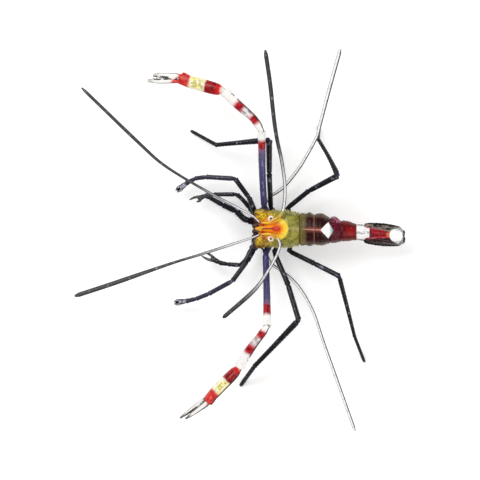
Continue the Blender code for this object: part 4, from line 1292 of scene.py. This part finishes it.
HANDS = {
    1: {"upper": [(0, 1), (1, 2, 3)], "palm": 0.45, "gape": 0.55, "right_tip": 0.72,
        "paint": limb_finish("slate_hands", (6, 6, 10), (40, 40, 48), (100, 97, 95))},
    2: {"upper": IN_THREE, "palm": 0.55, "gape": 0.24, "right_tip": 1.0,
        "paint": limb_finish("lilac_hands", (6, 6, 12), (62, 62, 84), (200, 200, 214))},
}
FINGER_RADIUS = 0.34
FINGER_BOW = 0.16
for number, hand in HANDS.items():
    for title, side in SIDES:
        thigh(number, title, hand["upper"], 0.85, 1.25, 0.25)
        node = f"leg_{number}_{title}_lower"
        shin = stout(knees(node), GIRTH[number])
        wrist, girth = np.array(shin[-1][:3]), shin[-1][3]
        cloud = mesh_points(node)
        cloud = cloud[(cloud - wrist) @ (wrist - np.array(shin[-2][:3])) > 0]
        reach = np.linalg.norm(cloud - wrist, axis=1)
        one = cloud[reach.argmax()]
        two = cloud[(np.linalg.norm(cloud - one, axis=1) * (reach > 0.75 * reach.max())).argmax()]
        ahead = (one + two) / 2 - wrist
        palm_end = wrist + ahead * hand["palm"]
        body = Body()
        start = lengths(body, shin, [(i, i + 1) for i in range(len(shin) - 1)], thorns=0.15)
        palm = [(*wrist, girth), (*(wrist + ahead * 0.3), girth * 1.15), (*palm_end, girth * 1.2)]
        start = article(body, palm, start=start, far=0.95, flat=0.8, end=TIP)
        # The second pair's gape gets a thin rod that is painted dark all over, a painted shade between the
        # fingers.
        if number == 2:
            tube(body, [(*palm_end, 0.2), (*(wrist + ahead * 0.92), 0.14)], 0.1, 12, start=start, inner=1.0)
        for tip, reach in ((one, 1.0), (two, hand["right_tip"] if side > 0 else 1.0)):
            apart = tip - (one + two) / 2
            apart /= np.linalg.norm(apart)
            tip = wrist + ahead * reach + apart * hand["gape"]
            root = palm_end + apart * FINGER_RADIUS - ahead * 0.06
            bow = (root + tip) / 2 + apart * FINGER_BOW
            finger = [(*root, FINGER_RADIUS), (*bow, 0.3), (*tip, 0.17)]
            article(body, finger, start=start, near=0.95, far=1.0, end=TIP)
        placed(body, f"leg_{number}_{title}_hand", hand["paint"], node, seed=number)

MAXILLIPED_LENGTHS = {
    "maxilliped_right_upper": [(0, 1), (1, 2, 3)],
    "maxilliped_right_lower": IN_THREE,
    "maxilliped_left": [(0, 1, 2), (2, 3, 4), (4, 5, 6)],
}
MAXILLIPED_GIRTH = 1.2
LEFT_SHIFT = (0.8, 0, 0)
maxilliped_hair = thorn_finish("slate_hair", (70, 66, 84), (150, 140, 160))
for node, groups in MAXILLIPED_LENGTHS.items():
    joints = stout(knees(node), MAXILLIPED_GIRTH, LEFT_SHIFT if "left" in node else (0, 0, 0))
    body = Body()
    start = hip(body, joints[0], 0.75) if "lower" not in node else 0.0
    start = lengths(body, joints, groups[:-1], start, flat=0.8, thorns=0.3)
    lengths(body, joints, groups[-1:], start, flat=0.8, thorns=0.3, end=CUP if "upper" in node else TIP)
    placed(body, f"{node}_length", dark_leg, node, seed=9)
    _, found, heading = Run(joints).even(0.3)
    aside = np.cross(heading, (0, 0, 1))
    for index, way in enumerate((1, -1)):
        points = found[:, :3] + way * aside * found[:, 3:] * 0.9
        lies = aside * way + heading * 0.8 + np.array([0, 0, -0.4])
        fringed(f"{node}_hairs_{index}", points, lies, 0.85, 50 + index, maxilliped_hair, 0.14, 0.4)

# ---------------------------------------------------------------------------------------------
# Great claw arms: the third pair, held up and out. A long violet merus leads up to the elbow, a
# stout carpus on to the wrist, and the palm carries a fixed finger and a hinged one, both toothed
# and hooked. From the elbow on, ivory shell is crossed by red bands, with a dark line of painted shade
# outside.

FINGERS_FROM = 10.9
# In each arm, blots and blot_edge place the painted shade between the fingers, and dotted breaks the painted
# shade line into dots.
ARMS = {
    "right": {
        "merus_red": (2.4, 4.75), "carpus_red": ((0.53, 0.66), (0.2, 0.33)), "palm_red": 12.8, "dotted": 0.8,
        "slip": 0.45, "blots": ((13.2, 15.1), (16.0, 17.3)), "blot_edge": 0.2, "dark_tip": 0.35,
        "hook": -0.16, "web": 1.0,
    },
    "left": {
        "merus_red": (3.1, 5.75), "carpus_red": ((0.47, 0.62), (0.14, 0.27)), "palm_red": 11.9, "dotted": 0.1,
        "slip": 0, "blots": ((14.6, 18.4),), "blot_edge": 0.6, "dark_tip": 0.85, "hook": -0.1, "web": 0.2,
    },
}


def share_of(paint):
    """How far along its piece a point is, as a share of the piece's length."""
    along = paint.kept("along")
    return along / (along + paint.kept("left"))


def merus_finish(name, red_from, red_to):
    """Violet, with painted lilac highlights where it faces up and painted shade along its sides, then red and
    ivory toward the elbow, from where so much of its length is left.
    """
    paint = Finish(name)
    left = paint.kept("left") + (paint.noise(1.2) - 0.5) * 0.5
    share, up = share_of(paint), paint.facing()
    grey = paint.mix(paint.noise(1.1), (60, 58, 86), (124, 118, 160))
    paint.colour = paint.mix(paint.noise(1.0, 3.0), (26, 26, 46), (84, 80, 142))
    paint.lay(share.step(0.5, 0.85) * 0.7, grey)
    paint.lay(share.step(0.35, 0.15) * 0.7, (36, 42, 50))
    # Painted highlight: lilac patches only where the arm faces up.
    paint.lay(paint.noise(0.9).step(0.52, 0.66) * up.step(0.85, 0.98) * 0.7, (150, 146, 200))
    # Painted shade: dark where the arm's surface faces sideways.
    paint.lay(up.band(-0.6, 0.6, 0.25) * 0.9, (16, 16, 26))
    paint.lay(left.step(red_to + 1.6, red_to) * 0.7, (140, 92, 124))
    wine = paint.mix(paint.noise(1.5).step(0.3, 0.7), (110, 0, 20), (198, 24, 36))
    paint.lay(left.step(red_to + 0.3, red_to - 0.4), wine)
    ivory = paint.mix(paint.noise(1.2), (246, 242, 236), (253, 252, 249))
    paint.lay(left.step(red_from + 0.7, red_from - 0.4), ivory)
    return paint.done(rough=0.28, height=paint.noise(4.0, 3.0), relief=0.05, coat=0.35, flesh=0.08)


def edge_shade(paint, dots):
    """Painted shade: a dark line along the outer side of an arm, in places only a row of dots that stand for
    the thorns' shadows, and a faint one along its inner side."""
    inner = paint.facing(0).step(0.1, -0.2) * paint.facing().band(0.1, 0.42, 0.1)
    paint.lay(inner * 0.5, (90, 60, 60))
    outer = paint.facing(0).step(0.0, 0.3) * paint.facing().band(0.34, 0.76, 0.06)
    broken = paint.cells(1.5).step(0.36, 0.28) * dots + (1 - dots)
    paint.lay(outer * broken, (30, 14, 20))


def carpus_finish(name, wrist_blot, elbow_blot):
    """Ivory with a grey core along its back between two blots of red, by shares of its length."""
    paint = Finish(name)
    share = share_of(paint) + (paint.noise(0.9) - 0.5) * 0.05
    up = paint.facing()
    ivory = paint.mix(paint.noise(1.2), (246, 242, 238), (253, 252, 249))
    core = paint.mix(paint.noise(1.0, 3.0).step(0.35, 0.65), (150, 132, 138), (232, 228, 226))
    middle = elbow_blot[0], wrist_blot[1]
    paint.colour = paint.mix(share.band(*middle, 0.04) * up.step(0.0, 0.5), ivory, core)
    paint.lay(up.step(0.95, 0.99) * share.band(*middle, 0.05) * 0.7, (250, 248, 250))
    wine = paint.mix(paint.noise(1.5, 3.0).step(0.35, 0.65), (104, 0, 16), (204, 26, 42))
    for low, high in (wrist_blot, elbow_blot):
        paint.lay(share.band(low - 0.03, high + 0.03, 0.035) * 0.6, (240, 150, 150))
        paint.lay(share.band(low, high, 0.03), wine)
    # Painted shade along the outer and inner sides.
    edge_shade(paint, share.step(0.62, 0.72))
    return paint.done(rough=0.26, height=paint.noise(3.5, 3.0), relief=0.05, coat=0.4, flesh=0.1)


def palm_finish(name, red_end, dotted, slip, blots, blot_edge, dark_tip):
    """Red, cream and red again up to where the red fades out on a finger, with painted shade along its sides
    and between the fingers. Dotted is how far the painted shade line along the outer side is broken up, slip
    moves the bands toward the fingers, blots are the black stretches of painted shade between the fingers,
    and blot_edge is how far from a finger's inner side they end."""
    paint = Finish(name)
    exact = paint.kept("along")
    along = exact + (paint.noise(0.9) - 0.5) * 1.1 - slip
    up, outer = paint.facing(), paint.facing(0)
    halo = along.band(0.6, 4.9, 0.5) + along.band(8.0, red_end + 0.4, 0.6)
    ivory = paint.mix(paint.noise(1.3), (240, 235, 228), (253, 251, 248))
    paint.colour = paint.mix(halo * 0.7, ivory, (244, 160, 140))
    deep = paint.mix(paint.noise(1.0, 3.0).step(0.3, 0.7), (92, 0, 10), (170, 8, 18))
    deep = paint.mix(along.step(2.8, 1.0), deep, (214, 26, 26))
    paint.lay(along.band(0.9, 4.7, 0.35), deep)
    cream = paint.mix(paint.noise(0.8).step(0.35, 0.65), (253, 250, 226), (246, 232, 150))
    paint.lay(along.band(4.9, 8.2, 0.2), cream)
    moss = along.band(5.0, 8.0, 0.3) * outer.step(0.1, -0.1) * up.step(0.7, 0.85)
    paint.lay(moss * paint.noise(1.7, 3.0).step(0.42, 0.56) * 0.75, (170, 160, 50))
    warm = paint.mix(paint.noise(1.2, 3.0).step(0.35, 0.65), (176, 6, 22), (226, 62, 52))
    paint.lay(along.band(8.4, red_end, 0.4), warm)
    # Painted shade along the outer and inner sides.
    edge_shade(paint, dotted)
    # Painted shade: a dark line along the fingers where they turn away from the top.
    paint.lay(exact.step(FINGERS_FROM, FINGERS_FROM + 0.7) * up.band(0.2, 0.7, 0.12) * 0.8, (60, 50, 54))
    # Painted shade: black stretches between the fingers, on the faces that look at the other finger.
    gap_shade = sum(along.band(low, high, 0.25) for low, high in blots)
    paint.lay(gap_shade * paint.kept("inner").step(blot_edge, blot_edge + 0.2) * 0.9, (16, 12, 14))
    paint.lay(paint.kept("left").step(2.1, 0.7) * dark_tip, (52, 46, 50))
    return paint.done(rough=0.3, height=paint.noise(3.5, 3.0), relief=0.04, coat=0.2, flesh=0.1)


CLAW_SIDES = 12
PALM_RINGS = 5
FINGER_TEETH = 11
TOOTH_HEIGHT = 0.4
WEB_THICKNESS = 1.1
FORK_LENGTH = 0.9
PALM_SIDES = 36
PALM_SQUARE = 0.9
PALM_STEP = 0.11
PALM_TAPER = [0.98, 0.95, 0.84]
CLAW_NECK = ([-0.75, -0.6, -0.35], [0.4, 0.72, 0.93])
CLAW_TIP = ([0.1, 0.17, 0.21], [0.86, 0.6, 0.3])
HINGE_RADIUS = 0.62
HINGE_BACK = 0.12


def claw_rings(node):
    """A claw's sections, as three arrays: middles, half widths and half depths with their directions."""
    found = []
    for centre, _, points in limb_rings(node):
        if len(points) != CLAW_SIDES:
            continue
        spread = points - centre
        normal, deep, wide = np.linalg.eigh(spread.T @ spread)[1].T
        if found:
            wide = found[-1][1] - normal * (normal @ found[-1][1])
            wide /= np.linalg.norm(wide)
            deep = np.cross(wide, normal)
            deep *= np.sign(deep @ found[-1][2])
        halves = [way * math.sqrt(2 * ((spread @ way) ** 2).mean()) for way in (wide, deep)]
        found.append((centre, *halves))
    return [np.array(part) for part in zip(*found)]


def sculpted(body, sections, start=0.0, palm=0, inward=(0, 0, 0), hook=0.2, web=0.0, thorns=0.0):
    """A smooth closed body through claw sections: a palm of so many, and then a finger.

    The finger narrows, its tip bends inward by the hook, and rounded teeth stand on its inner side.
    Near the fork the web thickens it on that side, and its tip gets blunter.
    """
    line = Run(np.hstack(sections))
    knuckle = line.reach[palm - 1] if palm else 0.0
    beyond = line.length + np.array(CLAW_TIP[0])
    distance = np.concatenate([CLAW_NECK[0], line.even(PALM_STEP)[0], beyond])
    narrow = 0.74 if palm else 1.05
    root = narrow + (1 - narrow) * ease((distance + 0.3) / 1.6)
    root[:3] *= CLAW_NECK[1]
    root[-3:] *= CLAW_TIP[1]
    c, s = circle(PALM_SIDES, PALM_SQUARE)
    rings, faced = [], []
    for row, place, size in zip(line.at(distance), distance, root):
        share = min(max((place - knuckle) / (line.length - knuckle), 0), 1)
        fork = ease((place - knuckle) / FORK_LENGTH) * (1 - ease(share / 0.7))
        slim = size * (1.04 + (0.7 * web - 0.38) * share**2) * (1 + 0.22 * web * fork)
        middle = row[:3] + inward * (hook * ease(share) + (0.28 if palm else -0.1) * web * fork)
        ring = middle + slim * (np.outer(c, row[3:6]) + np.outer(s, row[6:9]))
        bite = np.clip((ring - middle) @ inward, 0, None)
        tooth = TOOTH_HEIGHT * abs(math.sin(math.pi * share * FINGER_TEETH)) ** 1.5 * (0.2 < share < 0.9)
        rings.append(ring + np.outer(bite * (tooth + WEB_THICKNESS * web * fork), inward))
        faced.append(bite / max(bite.max(), 0.01))
    growth = np.where((distance > 0.3) & (distance < knuckle), thorns, 0)[:, None]
    body.loft(rings, start, growth, faced)
    return start + knuckle


claw_thorns = thorn_finish("wine_thorns", (120, 40, 40), (206, 150, 130))
for title, looks in ARMS.items():
    node = f"claw_{title}_merus"
    arm = stout(knees(node), 0.97)
    body = Body()
    lengths(body, arm, [(0, 1), (1, 2), (2, 3, 4)], hip(body, arm[0], 0.85), sides=28, far=1.08, thorns=0.35)
    paint = merus_finish(f"violet_merus_{title}", *looks["merus_red"])
    placed(body, f"claw_{title}_arm", paint, node, length=0.28, seed=60)

    node = f"claw_{title}_carpus"
    body = Body()
    article(body, knees(node), sides=32, near=0.7, far=1.1, thorns=0.3)
    paint = carpus_finish(f"blotched_carpus_{title}", *looks["carpus_red"])
    placed(body, f"claw_{title}_forearm", paint, node, 0.3, 61, claw_thorns)

    palm, thumb = claw_rings(f"claw_{title}_palm"), claw_rings(f"claw_{title}_finger")
    between = palm[0][PALM_RINGS + 1] - thumb[0][1]
    between /= np.linalg.norm(between)
    for part in palm[1:]:
        part[PALM_RINGS - len(PALM_TAPER):PALM_RINGS] *= np.array(PALM_TAPER)[:, None]
    shape = {"hook": looks["hook"], "web": looks["web"]}
    marks = [looks[name] for name in ("dotted", "slip", "blots", "blot_edge", "dark_tip")]
    body = Body()
    knuckle = sculpted(body, palm, palm=PALM_RINGS, inward=-between, thorns=0.35, **shape)
    paint = palm_finish(f"banded_palm_{title}", looks["palm_red"], *marks)
    placed(body, f"claw_{title}_hand", paint, f"claw_{title}_palm", 0.26, 62, claw_thorns)

    body = Body()
    sculpted(body, thumb, start=knuckle + 0.2, inward=between, **shape)
    ball(body, thumb[0][0] - (thumb[0][1] - thumb[0][0]) * HINGE_BACK, (HINGE_RADIUS,) * 3)
    paint = palm_finish(f"white_thumb_{title}", FINGERS_FROM, *marks)
    placed(body, f"claw_{title}_thumb", paint, f"claw_{title}_finger", thorn_paint=None)

# ---------------------------------------------------------------------------------------------
# Feelers: six finely ringed whips that taper to hair-fine ends, two from each stalk on the face
# and one from each antenna. They are pale near the head, and darker and greyer further out.


def whip_tree():
    """A tapering whip along a line, closely ringed: the line's attribute gives its girth."""
    grow = Growth("ringed_whip", "Step", "Ring", "Groove")
    curve = grow.node("GeometryNodeMeshToCurve", None, {"Mesh": grow.given})
    sockets = {"Curve": curve, "Length": grow.given.also("Step")}
    fine = grow.node("GeometryNodeResampleCurve", {"mode": "LENGTH"}, sockets)
    turn = grow.node("GeometryNodeSplineParameter", out=1) * (2 * math.pi) / grow.given.also("Ring")
    wave = turn.math("SINE", turn)
    radius = grow.kept("girth") * (1 - grow.given.also("Groove") * (wave * 0.5 + 0.5))
    sockets = {"Resolution": 10, "Radius": 1.0}
    ring = grow.node("GeometryNodeCurvePrimitiveCircle", {"mode": "RADIUS"}, sockets)
    sockets = {"Curve": fine, "Profile Curve": ring, "Scale": radius, "Fill Caps": True}
    tube_round = grow.node("GeometryNodeCurveToMesh", None, sockets)
    return grow.end(grow.node("GeometryNodeSetShadeSmooth", None, {0: tube_round}))


def feeler_finish(name, pale, grey, dark, turns_grey, core, lean):
    """A pale stripe where a dark whip faces up, which turns grey further out; on the dark antennules this
    stripe is a painted highlight, and on the white antennae the dark rest is painted shade. Lean moves the
    stripe forward and pales the dark line in front of it, so the painted shade lies on the side that faces
    +X.

    Over the face it takes the yellow of the shield below it, with a thin dark red line.
    """
    paint = Finish(name)
    up, gone = paint.facing() - paint.facing(0) * lean, paint.kept("gone")
    # Painted shade: with lean, the whip is dark on the side that faces +X and only grey on the side that
    # faces forward.
    if lean:
        dark = paint.mix(paint.facing(0).step(0.1, -0.3), dark, (150, 150, 152))
    stripe = paint.mix((gone + paint.noise(0.3) * 8).step(*turns_grey), pale, grey)
    stripe = paint.mix(paint.noise(2.2, 3.0).step(0.5, 0.62) * 0.35, stripe, dark)
    flecks = paint.noise(1.3).step(0.58, 0.7) * gone.step(*turns_grey)
    stripe = paint.mix(flecks * 0.5, stripe, (170, 170, 170))
    # Painted light: the pale stripe only where the whip faces up, dark elsewhere.
    paint.colour = paint.mix(up.step(core - 0.12, core + 0.1), dark, stripe)
    behind = paint.x - head_front
    out = paint.across() + paint.aside().step(0.1, -0.1) * 1.8
    skin = paint.mix(behind.step(2.2, 3.6), (248, 190, 50), (176, 160, 66))
    skin = paint.mix(up.step(0.93, 0.98) * behind.band(0.6, 2.9, 0.2), skin, (110, 22, 14))
    paint.lay(out.step(4.3, 3.7) * behind.step(-1.4, -0.6) * paint.z.step(9.5, 10.5), skin)
    return paint.done(rough=0.35, coat=0.2, flesh=0.05)


FACE_TAPER = 0.6
TIP_ROUNDING = 30
WHIP_SIZES = {"Step": 0.1, "Ring": 0.5, "Groove": 0.035}
FEELERS = {
    "antennule_inner": {
        "girth": 0.95, "tip_girth": {"right": 1.45, "left": 1.75},
        "looks": ((236, 234, 240), (76, 76, 80), (20, 20, 24), (8, 23), 0.8, 0),
    },
    "antennule_outer": {
        "girth": 1.1, "tip_girth": {"right": 1.4, "left": 1.8},
        "looks": ((240, 236, 240), (66, 66, 70), (24, 24, 28), (14, 27), 0.8, 0),
    },
    "antenna": {
        "girth": 1.0, "tip_girth": {"right": 1.35, "left": 1.35},
        "looks": ((252, 252, 252), (252, 252, 252), (30, 30, 34), (60, 80), 0.87, 0.22),
    },
}
TUCKED = {1: (0.5, 1.05), 2: (0.35, 0.85)}
whip = whip_tree()
for kind, feeler in FEELERS.items():
    paint = feeler_finish(f"{kind}_skin", *feeler["looks"])
    for title, side in SIDES:
        girth, tip_girth = feeler["girth"], feeler["tip_girth"][title]
        joints, gone = [], 0.0
        for part, slot in (("base", "pale_feeler"), ("tip", "grey_feeler")):
            node = f"{kind}_{title}_{part}"
            found = [np.array(joint) for joint in knees(node)]
            points = mesh_points(node)
            far = points[np.linalg.norm(points - found[0][:3], axis=1).argmax()]
            if np.linalg.norm(far - found[-1][:3]) > 1.0:
                found.append(np.array((*far, found[-1][3])))
            if (kind, part) == ("antenna", "base"):
                for index, (back, inward) in TUCKED.items():
                    found[index][:2] += back, -side * inward
            joints = found if part == "base" else [joints[-1], *found]
            run = Run(joints)
            even, found, _ = run.even(0.5)
            share = even / run.length
            size = girth * (FACE_TAPER + (1 - FACE_TAPER) * ease(2 * share))
            if part == "tip":
                size = girth + (tip_girth - girth) * ease(share * 1.5)
                size *= np.clip((1 - share) * TIP_ROUNDING, 0.2, 1) ** 0.5
            kept = {"girth": found[:, 3] * size * MM, "gone": gone + even}
            gone += run.length
            feeler_piece = grown_along(whip, found[:, :3], f"{node}_whip", kept, Finish=paint, **WHIP_SIZES)
            shown(feeler_piece, node)

# ---------------------------------------------------------------------------------------------
# Studio: a plain pale floor under soft lamps, and a long lens straight above the animal.

FLOOR_REACH = 3.0
FLOOR_GLOW = 0.22
LENS = 1000
SENSOR = 36
FRAME_WIDTH = 110.4 * MM
FOCUS_HEIGHT = 8.0 * MM
SKY_GLOW = 0.6
SEEN_GLOW = 0.95
MIRRORED_GLOW = 0.2


def floor_finish():
    paint = Finish("pale_floor")
    paint.colour = paint.mix(paint.noise(0.02), (250, 250, 249), (252, 252, 252))
    paint.shader.inputs["Emission Color"].default_value = (1, 1, 1, 1)
    paint.shader.inputs["Emission Strength"].default_value = FLOOR_GLOW
    return paint.done(rough=0.8, coat=0.0, flesh=0.0)


bpy.ops.mesh.primitive_plane_add(size=FLOOR_REACH)
floor = bpy.context.object
floor.name = "floor"
floor.data.materials.append(floor_finish())

world = bpy.data.worlds.new("studio")
world.use_nodes = True
sky = Graph(world.node_tree)
ray = sky.node("ShaderNodeLightPath")
glow = ray * (SEEN_GLOW - SKY_GLOW) + ray.also("Is Glossy Ray") * (MIRRORED_GLOW - SKY_GLOW) + SKY_GLOW
backdrop = world.node_tree.nodes["Background"]
backdrop.inputs["Color"].default_value = (1, 1, 1, 1)
sky.tree.links.new(glow.socket, backdrop.inputs["Strength"])
bpy.context.scene.world = world
bpy.context.scene.view_settings.view_transform = "Standard"


def lamp(name, place, size, power):
    """A softbox that looks at the animal."""
    light = bpy.data.lights.new(name, "AREA")
    light.size, light.energy = size, power
    holder = linked(name, light)
    holder.location = place
    holder.rotation_euler = (-Vector(place)).to_track_quat("-Z", "Y").to_euler()


lamp("key_lamp", (-0.35, 0.4, 0.7), 0.45, 3.4)
lamp("fill_lamp", (0.5, -0.35, 0.6), 0.5, 1.7)

lens = bpy.data.cameras.new("camera")
lens.lens, lens.sensor_width, lens.clip_start = LENS, SENSOR, 0.01
camera = linked("camera", lens)
centre = (cad_box[0] + cad_box[1]) / 2
camera.location = (centre.x, centre.y, FOCUS_HEIGHT + FRAME_WIDTH * LENS / SENSOR)
bpy.context.scene.camera = camera
